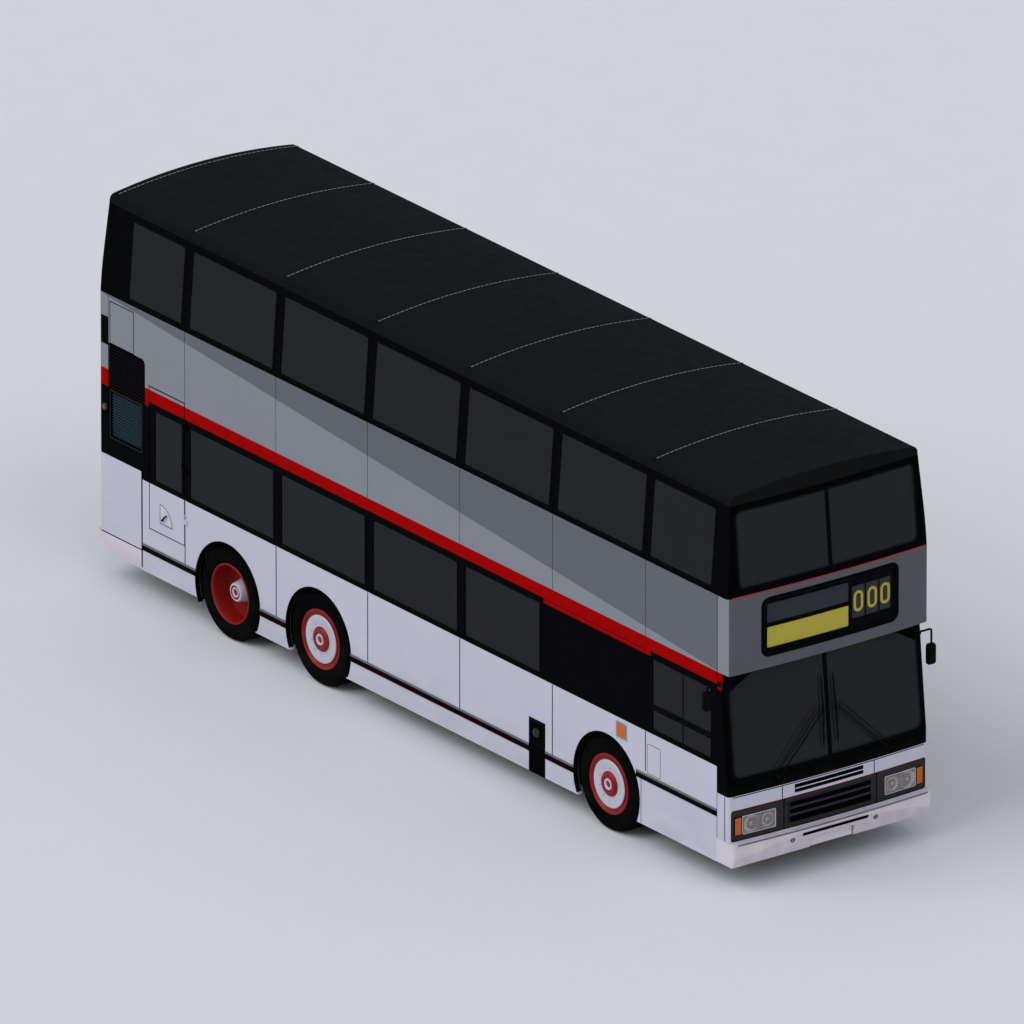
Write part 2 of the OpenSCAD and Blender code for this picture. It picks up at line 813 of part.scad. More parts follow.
rail_z0 = 520;
rail_z1 = low_floor_z - floor_t - fit;
rail_up = high_floor_z - floor_t - fit;
rail_h = 130;
module rails() {
  for (s = [-1, 1])
    mirrored(s) along_y(rail_in, rail_out)
      polygon([[back(60), rail_z0], [back(60), rail_z1], [step_x - 25, rail_z1], [step_x - 150, rail_up],
        [rail_tail, rail_up], [rail_tail, rail_up - rail_h], [step_x - 120, rail_up - rail_h], [step_x + 5, rail_z0]]);
}
engine_rear = rear_x + 170;
engine_l = 500;
engine_half = 600;
jack_l = 140;
jack_t = 12;
jack_x = front_axle_x - 500;
rear_jack_x = rear_axle_x - 700;
module jack_pad(x, z) {
  for (s = [-1, 1])
    mirrored(s) block([x - jack_l / 2, rail_in, z - jack_t], [x + jack_l / 2, rail_out, z + 1]);
}
engine_z0 = 430;
engine_z1 = 1260;
rail_tail = engine_rear + engine_l + 30;
module chassis_frame() {
  color("dimgray") {
    difference() {
      union() {
        rails();
        jack_pad(jack_x, rail_z0);
        jack_pad(rear_jack_x, rail_up - rail_h);
        for (x = [back(120), back(1100), front_axle_x - 900, (front_axle_x + middle_axle_x) / 2, step_x + 150])
          block([x - 30, -rail_in - 5, rail_z0 + 10], [x + 30, rail_in + 5, rail_z1 - 10]);
        for (x = [middle_axle_x - 400, rear_axle_x + 400, rear_axle_x - 500])
          block([x - 30, -rail_in - 5, rail_up - 120], [x + 30, rail_in + 5, rail_up - 10]);
        // Towing sockets under the front ends of the rails
        for (s = [-1, 1]) {
          translate([back(60) - tow_l, s * tow_y, tow_z]) rotate([0, 90, 0]) cylinder(r = 40, h = tow_l);
          mirrored(s) block([back(60) - tow_l, rail_out - 20, tow_z], [back(60) - 20, tow_y, rail_z0 + 40]);
        }
        // Outriggers that carry the side walls
        for (x = [bay(1) - 100, bay(2), bay(3)], s = [-1, 1])
          mirrored(s) block([x - 25, rail_out - 5, rail_z0 + 20], [x + 25, floor_y, rail_z1 - 5]);
        // Cradle under the engine, hung from the rails' tails
        for (s = [-1, 1])
          mirrored(s) block([rail_tail - 10, rail_in, engine_z0 - 40], [rail_tail + 50, rail_out, rail_up - 20]);
        block([engine_rear, -rail_out, engine_z0 - 40], [rail_tail + 50, rail_out, engine_z0 - fit]);
      }
      for (s = [-1, 1])
        translate([back(60) - tow_l - 1, s * tow_y, tow_z]) rotate([0, 90, 0]) cylinder(r = tow_r, h = tow_l + 2);
    }
  }
}
module engine() {
  color("slategray") block([engine_rear, -engine_half, engine_z0], [engine_rear + engine_l, engine_half, engine_z1]);
}

// ---------------------------------------------------------------- axles and wheels

kingpin_y = kingpin_track / 2;
eye_h = 110;
eye_r = 52;
fork_t = 24;
arm_l = 220;
arm_zt = 430;
rod_r = 17;
hub_r = 120;
module front_axle() {
  beam_z = 330;
  color("dimgray") {
    block([front_axle_x - 45, -620, beam_z], [front_axle_x + 45, 620, beam_z + 100]);
    for (s = [-1, 1]) mirrored(s) difference() {
      union() {
        translate([front_axle_x, kingpin_y, tyre_r - eye_h / 2]) cylinder(r = eye_r, h = eye_h);
        along_front() polygon([[560, beam_z], [620, beam_z], [kingpin_y - 55, tyre_r - eye_h / 2], [kingpin_y - 30, tyre_r - eye_h / 2],
          [kingpin_y - 30, tyre_r + eye_h / 2], [680, tyre_r + 20], [560, beam_z + 100]]);
      }
      translate([front_axle_x, kingpin_y, 0]) cylinder(r = kingpin_r + running_gap, h = 1000);
    }
    // Air springs and radius rods up to the rails
    for (s = [-1, 1]) mirrored(s) {
      translate([front_axle_x, (rail_in + rail_out) / 2, beam_z + 99]) cylinder(r = 34, h = rail_z0 - beam_z - 99 - fit);
    }
  }
}
module along_front() translate([front_axle_x - 40, 0, 0]) rotate([90, 0, 90]) linear_extrude(80) children();
// Knuckle at the origin, on its kingpin, with its stub axle towards +Y
module knuckle_shape() {
  gap = 1;
  drum_y = wheel_out - kingpin_y - tyre_w;
  for (z = [eye_h / 2 + gap, -eye_h / 2 - gap - fork_t])
    translate([0, 0, z]) linear_extrude(fork_t) hull() {
      circle(r = 40);
      translate([0, 70]) square([80, 10], center = true);
    }
  cylinder(r = kingpin_r, h = eye_h + 2 * fork_t + 2, center = true);
  translate([-60, eye_r + 8, -eye_h / 2 - gap - fork_t]) cube([120, 22, eye_h + 2 * gap + 2 * fork_t]);
  translate([0, eye_r + 25, 0]) rotate([-90, 0, 0]) cylinder(r = stub_r, h = wheel_out - kingpin_y - eye_r - 25 - 60);
  // Steering arm, reaching back to the track rod
  translate([-arm_l, 0, arm_zt - tyre_r - 15]) cylinder(r = 26, h = 28);
  translate([0, 0, arm_zt - tyre_r - 15]) linear_extrude(28) polygon([[-arm_l, -20], [-arm_l, 20],
    [-50, eye_r + 28], [30, eye_r + 28], [30, eye_r + 10], [-70, 30]]);
  translate([-arm_l, 0, arm_zt - tyre_r - 60]) cylinder(r = 10, h = 60);
}
module knuckle(side) {
  color("gray") translate([front_axle_x, side * kingpin_y, tyre_r]) mirrored(side) knuckle_shape();
}
module knuckle_left() knuckle(1);
module knuckle_right() knuckle(-1);
rod_z = arm_zt - 50;
module track_rod() {
  y = kingpin_y;
  color("gray") difference() {
    union() {
      translate([front_axle_x - arm_l, 0, rod_z]) rotate([90, 0, 0]) cylinder(r = rod_r, h = 2 * y - 30, center = true);
      for (s = [-1, 1])
        translate([front_axle_x - arm_l, s * y, rod_z - 17]) cylinder(r = 26, h = 34);
    }
    for (s = [-1, 1])
      translate([front_axle_x - arm_l, s * y, rod_z - 40]) cylinder(r = 10 + running_gap, h = 80);
  }
}
// A rigid axle at the origin with stubs for wheels, carried from rails at height rail
module rigid_axle(tube_r, stub_end, drum_end, diff_r, rail) {
  rotate([90, 0, 0]) cylinder(r = tube_r, h = 2 * drum_end, center = true);
  rotate([90, 0, 0]) cylinder(r = stub_r, h = 2 * stub_end, center = true);
  if (diff_r > 0)
    rotate([90, 0, 0]) cylinder(r = diff_r, h = 320, center = true);
  for (s = [-1, 1]) mirrored(s) {
    translate([0, (rail_in + rail_out) / 2, 0]) cylinder(r = 45, h = rail - tyre_r - fit);
    translate([-330, rail_in + 10, -30]) cube([330, rail_out - rail_in - 20, 50]);
    translate([-330, rail_in + 10, -30]) cube([50, rail_out - rail_in - 20, rail - tyre_r + 30 - fit]);
  }
}
module rear_axles() {
  stub_end = wheel_out - 70;
  color("dimgray") {
    translate([middle_axle_x, 0, tyre_r])
      rigid_axle(60, stub_end, wheel_out - tyre_w - 20, 0, rail_up - rail_h);
    translate([rear_axle_x, 0, tyre_r])
      rigid_axle(60, stub_end - twin_dish, twin_drum, 95, rail_up - rail_h);
  }
}
twin_dish = 110;
twin_drum = wheel_out - twin_span - 5;
// Outline of a tyre: radius along X, width along Y, from the inner side outwards
module tyre_outline(w) {
  side = 0.86 * tyre_r;
  offset(r = 18) offset(delta = -18)
    polygon([[rim_r + fit, 25], [rim_r + 55, 4], [side, 0], [tyre_r - 14, 22], [tyre_r, 55],
      [tyre_r, w - 55], [tyre_r - 14, w - 22], [side, w], [rim_r + 55, w - 4], [rim_r + fit, w - 25]]);
}
module turned(y) translate([0, y, 0]) rotate([-90, 0, 0]) rotate_extrude($fn = 96) children();
module tyre(y) color("black") turned(y) tyre_outline(tyre_w);
rim_t = 14;
// Rim whose disc bulges outwards, for a single tyre
module single_rim() {
  w = tyre_w;
  color("firebrick") turned(0) difference() {
    polygon([[stub_r + running_gap, w - 150], [hub_r, w - 150], [hub_r, w - 60], [rim_r - 60, w - 78],
      [rim_r - rim_t, w - 120], [rim_r - rim_t, 26], [rim_r, 26], [rim_r, w - 26], [rim_r + 14, w - 16],
      [rim_r - 20, w - 10], [rim_r - 38, w - 52], [hub_r + 20, w - 30], [hub_r - 20, w + 6],
      [stub_r + 20, w + 12], [0, w + 12], [0, w - 58], [stub_r + running_gap, w - 58]]);
  }
}
// Rims of a twin wheel: two barrels on one deeply dished disc
module twin_rims() {
  w = twin_span;
  color("firebrick") turned(0)
    polygon([[stub_r + running_gap, w - 330], [hub_r, w - 330], [hub_r, w - 305], [rim_r - rim_t, w - 305],
      [rim_r - rim_t, 26], [rim_r, 26], [rim_r, w - 26], [rim_r + 14, w - 16], [rim_r - 20, w - 10],
      [rim_r - rim_t - 6, w - 60], [rim_r - rim_t - 6, w - 285], [hub_r, w - 285], [hub_r - 25, w - 180],
      [stub_r + 5, w - 165], [0, w - 165], [0, w - twin_dish - 58 - 2], [stub_r + running_gap, w - twin_dish - 60]]);
}
module place_wheel(x, span, side) {
  translate([x, side * (wheel_out - span), tyre_r]) mirrored(side) children();
}
module front_rim_left() place_wheel(front_axle_x, tyre_w, 1) single_rim();
module front_rim_right() place_wheel(front_axle_x, tyre_w, -1) single_rim();
module middle_rim_left() place_wheel(middle_axle_x, tyre_w, 1) single_rim();
module middle_rim_right() place_wheel(middle_axle_x, tyre_w, -1) single_rim();
module rear_rims_left() place_wheel(rear_axle_x, twin_span, 1) twin_rims();
module rear_rims_right() place_wheel(rear_axle_x, twin_span, -1) twin_rims();
module front_tyre_left() place_wheel(front_axle_x, tyre_w, 1) tyre(0);
module front_tyre_right() place_wheel(front_axle_x, tyre_w, -1) tyre(0);
module middle_tyre_left() place_wheel(middle_axle_x, tyre_w, 1) tyre(0);
module middle_tyre_right() place_wheel(middle_axle_x, tyre_w, -1) tyre(0);
module twin_tyres() for (y = [0, tyre_w + twin_gap]) tyre(y);
module rear_tyres_left() place_wheel(rear_axle_x, twin_span, 1) twin_tyres();
module rear_tyres_right() place_wheel(rear_axle_x, twin_span, -1) twin_tyres();

// ---------------------------------------------------------------- doors

// One leaf between two stations, with its window cut
module leaf(x0, x1) {
  along_y(leaf_y - leaf_t / 2, leaf_y + leaf_t / 2) difference() {
    translate([x0, leaf_z0]) square([x1 - x0, leaf_z1 - leaf_z0]);
    rounded([x0 + leaf_border, leaf_pane_z0], [x1 - leaf_border, leaf_pane_z1], 30);
  }
}
module leaf_glass(x0, x1) {
  color("slategray", 0.5) along_y(leaf_y - glass_t / 2, leaf_y + glass_t / 2)
    rounded([x0 + leaf_border + fit, leaf_pane_z0 + fit], [x1 - leaf_border - fit, leaf_pane_z1 - fit], 30);
}
front_leaf = [leaf_fold_x + door_gap / 2, leaf_pivot_x + 12];
rear_leaf = [leaf_pivot_x - 2 * leaf_l, leaf_fold_x - door_gap / 2];
module door_front_leaf() {
  color("gainsboro") {
    leaf(front_leaf[0], front_leaf[1]);
    translate([leaf_pivot_x, leaf_y, leaf_z1 - 1]) cylinder(r = leaf_pin_r, h = entry_top - leaf_z1 + 20);
    for (z = fold_hinges) {
      translate([leaf_fold_x, fold_hinge_y, z]) hinge_pin();
      block([leaf_fold_x, leaf_y + leaf_t / 2 - 1, z], [leaf_fold_x + 30, fold_hinge_y + 2, z + hinge_h]);
    }
  }
}
module door_rear_leaf() {
  color("gainsboro") {
    leaf(rear_leaf[0], rear_leaf[1]);
    for (z = fold_hinges) {
      translate([leaf_fold_x, fold_hinge_y, z]) hinge_sleeve();
      block([leaf_fold_x - 30, leaf_y + leaf_t / 2 - 1, z + hinge_h + fit],
        [leaf_fold_x - hinge_pin_r - 1, fold_hinge_y + 2, z + 2 * hinge_h + fit]);
    }
  }
}
module door_front_glass() leaf_glass(front_leaf[0], front_leaf[1]);
module door_rear_glass() leaf_glass(rear_leaf[0], rear_leaf[1]);
module emergency_door() {
  color("gainsboro") {
    difference() {
      along_y(-half_w, -inner_y) difference() {
        translate([exit_rear + door_gap, exit_z + door_gap])
          square([exit_w - 2 * door_gap, exit_top - exit_z - 2 * door_gap]);
        rounded([exit_pane[0], low_sill_z], [exit_pane[1] - door_gap, low_top_z], pane_r);
      }
    }
    for (z = exit_hinges)
      translate([exit_hinge_x, exit_hinge_y, z]) {
        hinge_sleeve();
        translate([-45, -3, hinge_h + fit]) cube([45 - hinge_pin_r - 1, hinge_plate, hinge_h]);
      }
  }
}
module emergency_glass() {
  color("slategray", 0.5) along_y(-half_w + 6, -half_w + 6 + glass_t)
    rounded([exit_pane[0] + fit, low_sill_z + fit], [exit_pane[1] - door_gap - fit, low_top_z - fit], pane_r);
}

lower_side_left();
lower_side_right();
upper_side_left();
upper_side_right();
roof();
front_lower_panel();
front_upper_panel();
rear_panel();
side_windows();
windscreens();
lower_floor();
upper_floor();
staircase();
lower_seats();
upper_seats();
driver_seat();
driver_console();
chassis_frame();
engine();
front_axle();
rear_axles();
knuckle_left();
knuckle_right();
track_rod();
front_rim_left();
front_tyre_left();
front_rim_right();
front_tyre_right();
middle_rim_left();
middle_tyre_left();
middle_rim_right();
middle_tyre_right();
rear_rims_left();
rear_tyres_left();
rear_rims_right();
rear_tyres_right();
front_bumper();
rear_bumper();
front_lamps();
mirrors();
wipers();
door_front_leaf();
door_rear_leaf();
door_front_glass();
door_rear_glass();
emergency_door();
emergency_glass();
engine_lid();
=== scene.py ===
from math import acos, ceil, copysign, cos, exp, hypot, pi, radians, sin

import bmesh
import bpy
from mathutils import Matrix, Vector


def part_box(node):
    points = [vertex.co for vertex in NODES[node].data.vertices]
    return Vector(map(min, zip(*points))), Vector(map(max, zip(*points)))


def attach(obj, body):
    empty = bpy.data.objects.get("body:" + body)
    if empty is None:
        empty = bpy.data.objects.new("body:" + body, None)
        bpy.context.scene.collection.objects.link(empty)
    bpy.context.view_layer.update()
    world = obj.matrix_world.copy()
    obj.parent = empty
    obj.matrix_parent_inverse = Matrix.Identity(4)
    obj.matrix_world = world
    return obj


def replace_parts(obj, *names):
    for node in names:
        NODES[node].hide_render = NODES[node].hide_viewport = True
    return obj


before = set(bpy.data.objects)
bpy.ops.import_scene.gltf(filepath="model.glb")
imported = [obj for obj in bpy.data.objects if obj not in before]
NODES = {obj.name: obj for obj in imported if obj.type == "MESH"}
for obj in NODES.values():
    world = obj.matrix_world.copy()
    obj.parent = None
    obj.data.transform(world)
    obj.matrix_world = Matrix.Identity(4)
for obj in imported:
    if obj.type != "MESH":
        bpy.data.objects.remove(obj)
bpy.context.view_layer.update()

# ---------------------------------------------------------------- sizes, in metres, row frame

BOW = 0.045
REAR_BOW = 0.03
BODY_L = 10.594
HALF = 1.25
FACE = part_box("front_upper_panel")[1].x - BOW
REAR = FACE - BODY_L
WAIST = 3.14
BELT = WAIST + 0.001
LEAN = 0.072 / 0.96
CROWN = 4.27
SCREEN_FOOT = 1.165
BROW = 2.315
SCREEN_LEAN = 0.12 / 1.15
UPPER_LEAN = 0.09 / 0.96
AXLES = (FACE - 2.025, FACE - 6.87, FACE - 8.41)
BAYS = tuple(FACE - 1.378 - i * 1.5514 for i in range(6))
TYRE_R = 0.5
LIP, FOOT_OUT, LIP_FOOT, LIP_KNEE = 0.079, 0.012, 0.27, 0.486
CAMBER, ROOF_HALF = 0.085, 1.175
BAND_FOOT, RED_FOOT = 1.294, 2.18


def X(d):
    """Row X of a point d behind the front corners."""
    return FACE - d


# ---------------------------------------------------------------- surfaces that details lie on

def side_at(s):
    def at(u, v, out=0.0):
        return Vector((u, s * (HALF - max(0.0, v - WAIST) * LEAN + out), v))
    return at


def front_at(u, v, out=0.0):
    x = FACE + BOW * (1 - (u / HALF) ** 2)
    if v > WAIST:
        x -= (v - WAIST) * UPPER_LEAN
    elif SCREEN_FOOT < v < BROW:
        x -= (v - SCREEN_FOOT) * SCREEN_LEAN
    return Vector((x + out, u, v))


def bumper_at(u, v, out=0.0):
    """The lip stands LIP out, and slants back from its knee to its foot."""
    x = FACE + LIP + BOW * (1 - (u / HALF) ** 2)
    if v < LIP_KNEE:
        shade_line = (v - LIP_FOOT) / (LIP_KNEE - LIP_FOOT)
        x = min(x, FACE + BOW + FOOT_OUT + (LIP - FOOT_OUT) * shade_line)
    return Vector((x + out, u, v))


def plate_at(u, v, out=0.0):
    return Vector((FACE + BOW + out, u, v))


def rear_at(u, v, out=0.0):
    x = REAR - REAR_BOW * (1 - (u / HALF) ** 2)
    if v > WAIST:
        x += (v - WAIST) * UPPER_LEAN
    return Vector((x - out, u, v))


def roof_at(u, v, out=0.0):
    return Vector((u, v, CROWN - CAMBER * (v / ROOF_HALF) ** 2 + out))


def flat(x, y, z=0.0):
    """The row frame itself: u is X, v is Y and out is Z."""
    return Vector((x, y, z))


RIGHT, LEFT = side_at(-1), side_at(1)
SIDES = ((-1, RIGHT), (1, LEFT))


# ---------------------------------------------------------------- mesh building

def ring_faces(n, a, b):
    """Quads between two rings of n points that start at a and b."""
    return [(a + i, a + (i + 1) % n, b + (i + 1) % n, b + i) for i in range(n)]


def loft_faces(n, rings):
    """The faces of a closed tube whose rings have n points each."""
    sides = [f for k in range(rings - 1) for f in ring_faces(n, n * k, n * (k + 1))]
    return sides + [tuple(range(n)), tuple(range(n * rings - 1, n * rings - n - 1, -1))]


def rounded(u0, u1, v0, v1, r, n=5, step=0.0):
    """A rounded rectangle's outline, as a closed list of (u, v), anticlockwise."""
    pts = []
    for cu, cv, a0 in ((u1 - r, v0 + r, -90), (u1 - r, v1 - r, 0),
                       (u0 + r, v1 - r, 90), (u0 + r, v0 + r, 180)):
        for i in range(n + 1):
            a = radians(a0 + 90 * i / n)
            pts.append((cu + r * cos(a), cv + r * sin(a)))
    if not step:
        return pts
    out = []
    for (a, b), (c, d) in zip(pts, pts[1:] + pts[:1]):
        k = max(1, ceil(hypot(c - a, d - b) / step))
        out += [(a + (c - a) * i / k, b + (d - b) * i / k) for i in range(k)]
    return out


def bend(pts, r, n=5):
    """Rounds the corners of a path in space."""
    pts = [Vector(q) for q in pts]
    out = [pts[0]]
    for a, q, c in zip(pts, pts[1:], pts[2:]):
        k = min(r, (a - q).length / 2, (c - q).length / 2)
        s, e = q + (a - q).normalized() * k, q + (c - q).normalized() * k
        for i in range(n + 1):
            t = i / n
            out.append(s * (1 - t) ** 2 + q * (2 * t * (1 - t)) + e * t * t)
    return out + [pts[-1]]


def mm(*points):
    """A turned profile of (radius, height), written in millimetres."""
    return [(r / 1000, h / 1000) for r, h in points]


def cap(*points):
    """A button's profile in millimetres: from its middle to its rim, straight down and flat below."""
    return mm(*points, (points[-1][0], 0), (0, 0))


class Piece:
    """Collects closed shells for one object. Flat shapes lie on the surface named by at."""

    def __init__(self, at=None):
        self.verts, self.faces, self.slots, self.at = [], [], [], at

    def add(self, verts, faces, m=0):
        n = len(self.verts)
        self.verts += [tuple(v) for v in verts]
        self.faces += [tuple(n + i for i in f) for f in faces]
        self.slots += m if isinstance(m, list) else [m] * len(faces)

    def make(self, name, mats, body="bus_body", smooth=0.6):
        mesh = bpy.data.meshes.new(name)
        mesh.from_pydata(self.verts, [], self.faces)
        for m in mats:
            mesh.materials.append(m)
        mesh.polygons.foreach_set("material_index", self.slots)
        bm = bmesh.new()
        bm.from_mesh(mesh)
        bmesh.ops.recalc_face_normals(bm, faces=bm.faces)
        bm.to_mesh(mesh)
        bm.free()
        obj = bpy.data.objects.new(name, mesh)
        bpy.context.scene.collection.objects.link(obj)
        if smooth:
            mesh.polygons.foreach_set("use_smooth", [True] * len(mesh.polygons))
            mesh.set_sharp_from_angle(angle=smooth)
        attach(obj, body)
        return obj

    def block(self, u0, u1, v0, v1, h0, h1, b=0.002, m=0, step=0.0, at=None):
        """A bar with chamfered edges."""
        at = at or self.at
        n = max(1, ceil((u1 - u0) / step)) if step else 1
        us = [(u0, b), (u0 + b, 0.0)] + [(u0 + (u1 - u0) * i / n, 0.0) for i in range(1, n)]
        us += [(u1 - b, 0.0), (u1, b)]
        verts = [at(u, v, h) for u, c in us for v, h in (
            (v0 + b, h0 + c), (v1 - b, h0 + c), (v1 - c, h0 + b), (v1 - c, h1 - b),
            (v1 - b, h1 - c), (v0 + b, h1 - c), (v0 + c, h1 - b), (v0 + c, h0 + b))]
        self.add(verts, loft_faces(8, len(us)), m)

    def strip(self, pts, w, h0, h1, closed=False, m=0, at=None):
        """A flat moulding of width w along a line, with chamfered top edges and mitred corners."""
        b = min(w * 0.3, abs(h1 - h0) * 0.7)
        n = len(pts)
        rows = []
        for i, (u, v) in enumerate(pts):
            prev = pts[i - 1] if (i or closed) else None
            nxt = pts[(i + 1) % n] if (i < n - 1 or closed) else None
            dirs = []
            for a, c in ((prev, (u, v)), ((u, v), nxt)):
                if a is not None and c is not None:
                    d = hypot(c[0] - a[0], c[1] - a[1])
                    if d > 1e-9:
                        dirs.append(((c[0] - a[0]) / d, (c[1] - a[1]) / d))
            dx, dy = sum(d[0] for d in dirs), sum(d[1] for d in dirs)
            k = hypot(dx, dy) or 1.0
            nx, ny = -dy / k, dx / k
            scale = 1.0 / max(0.5, -nx * dirs[0][1] + ny * dirs[0][0])
            rows += [(u + nx * o * scale, v + ny * o * scale, h) for o, h in (
                (-w / 2, h0), (-w / 2, h1 - b), (b - w / 2, h1),
                (w / 2 - b, h1), (w / 2, h1 - b), (w / 2, h0))]
        faces = loft_faces(6, n)
        if closed:
            faces = faces[:-2] + ring_faces(6, 6 * (n - 1), 0)
        self.add([(at or self.at)(*q) for q in rows], faces, m)

    def hoop(self, box, w, h0, h1, m=0, at=None):
        """A moulding round a rounded rectangle."""
        self.strip(rounded(*box), w, h0, h1, True, m, at)

    def line(self, u0, v0, u1, v1, w, h1=0.0012, h0=-0.002, step=0.0, m=0, at=None):
        k = max(1, ceil(hypot(u1 - u0, v1 - v0) / step)) if step else 1
        pts = [(u0 + (u1 - u0) * i / k, v0 + (v1 - v0) * i / k) for i in range(k + 1)]
        self.strip(pts, w, h0, h1, m=m, at=at)

    def plate(self, outline, h0, h1, b=0.003, m=0, cols=None, at=None):
        """A filled plate with a chamfered rim. The outline is convex along u."""
        us = sorted(set(round(q[0], 6) for q in outline))
        if cols:
            u0, u1 = us[0], us[-1]
            us = sorted(set(us + [round(u0 + (u1 - u0) * i / cols, 6) for i in range(1, cols)]))

        def span(u):
            hits = []
            for (a, c), (e, g) in zip(outline, outline[1:] + outline[:1]):
                if min(a, e) - 1e-5 <= u <= max(a, e) + 1e-5:
                    hits += [c, g] if abs(a - e) < 2e-5 else [c + (g - c) * (u - a) / (e - a)]
            return min(hits), max(hits)

        spans = [(u,) + span(u) for u in us]
        w = us[-1] - us[0]
        mid = (us[0] + us[-1]) / 2
        verts = []
        for inset, h in ((0.0, h0), (0.0, h1 - b), (b, h1)):
            f = (w - 2 * b) / w if inset else 1.0
            ends = [(mid + (u - mid) * f, lo, hi, min(inset, (hi - lo) * 0.45)) for u, lo, hi in spans]
            verts += [(u, lo + d, h) for u, lo, hi, d in ends]
            verts += [(u, hi - d, h) for u, lo, hi, d in reversed(ends)]
        c = len(spans)
        n = 2 * c
        faces = ring_faces(n, 0, n) + ring_faces(n, n, 2 * n)
        for i in range(c - 1):
            faces.append((2 * n + i, 2 * n + i + 1, 2 * n + n - 2 - i, 2 * n + n - 1 - i))
            faces.append((i + 1, i, n - 1 - i, n - 2 - i))
        self.add([(at or self.at)(*q) for q in verts], faces, m)

    def grille(self, u0, u1, v0, v1, back, top, pitch, bar, m=1):
        """Crossing bars over a dark backing."""
        self.block(u0, u1, v0, v1, back - 0.001, back + 0.003, 0.001)
        n = round((u1 - u0) / pitch)
        for u in [u0 + (u1 - u0) * k / n for k in range(1, n)]:
            self.block(u - bar / 2, u + bar / 2, v0, v1, back + 0.003, top, bar * 0.3, m)
        n = round((v1 - v0) / pitch)
        for v in [v0 + (v1 - v0) * k / n for k in range(1, n)]:
            self.block(u0, u1, v - bar / 2, v + bar / 2, back + 0.003, top - 0.001, bar * 0.3, m)

    def tube(self, pts, r, n=10, m=0):
        """A round tube along a path in space, with closed ends."""
        pts = [Vector(q) for q in pts]
        side = None
        verts = []
        for i, q in enumerate(pts):
            d = ((pts[i + 1] - q) if i == 0 else (q - pts[i - 1]) if i == len(pts) - 1
                 else (pts[i + 1] - q).normalized() + (q - pts[i - 1]).normalized()).normalized()
            side = side or d.orthogonal().normalized()
            side = (side - d * side.dot(d)).normalized()
            up = d.cross(side)
            for k in range(n):
                a = 2 * pi * k / n
                verts.append(q + side * (r * cos(a)) + up * (r * sin(a)))
        self.add(verts, loft_faces(n, len(pts)), m)

    def lathe(self, centre, axis, profile, n=48, m=0, wave=None):
        """Revolves (radius, height) points. The profile starts and ends on the axis, or is closed."""
        axis = Vector(axis).normalized()
        a = Vector((1, 0, 0)) if abs(axis.y) > 0.9 else axis.orthogonal().normalized()
        b = axis.cross(a)
        centre = Vector(centre)
        verts, rows = [], []
        for j, (r, h) in enumerate(profile):
            if r < 1e-6:
                rows.append([len(verts)] * n)
                verts.append(centre + axis * h)
                continue
            rows.append(list(range(len(verts), len(verts) + n)))
            for i in range(n):
                t = 2 * pi * i / n
                rr = r + (wave(j, i) if wave else 0.0)
                verts.append(centre + axis * h + a * (rr * cos(t)) + b * (rr * sin(t)))
        faces, slots = [], []
        ends = [] if profile[0][0] < 1e-6 else [(rows[-1], rows[0])]
        for k, (lo, hi) in enumerate(list(zip(rows, rows[1:])) + ends):
            for i in range(n):
                q = tuple(dict.fromkeys((lo[i], lo[(i + 1) % n], hi[(i + 1) % n], hi[i])))
                if len(q) > 2:
                    faces.append(q)
                    slots.append(m[k] if isinstance(m, list) else m)
        self.add(verts, faces, slots)

    def knob(self, u, v, profile, n, m=0, out=0.0, at=None):
        """A turned part that stands on the surface."""
        at = at or self.at
        self.lathe(at(u, v, out), at(u, v, 1.0) - at(u, v), profile, n, m)


# ---------------------------------------------------------------- materials

def rgb(r, g, b):
    """A linear colour from the usual 0 to 255 values."""
    def lin(c):
        c /= 255.0
        return c / 12.92 if c <= 0.04045 else ((c + 0.055) / 1.055) ** 2.4
    return (lin(r), lin(g), lin(b), 1.0)


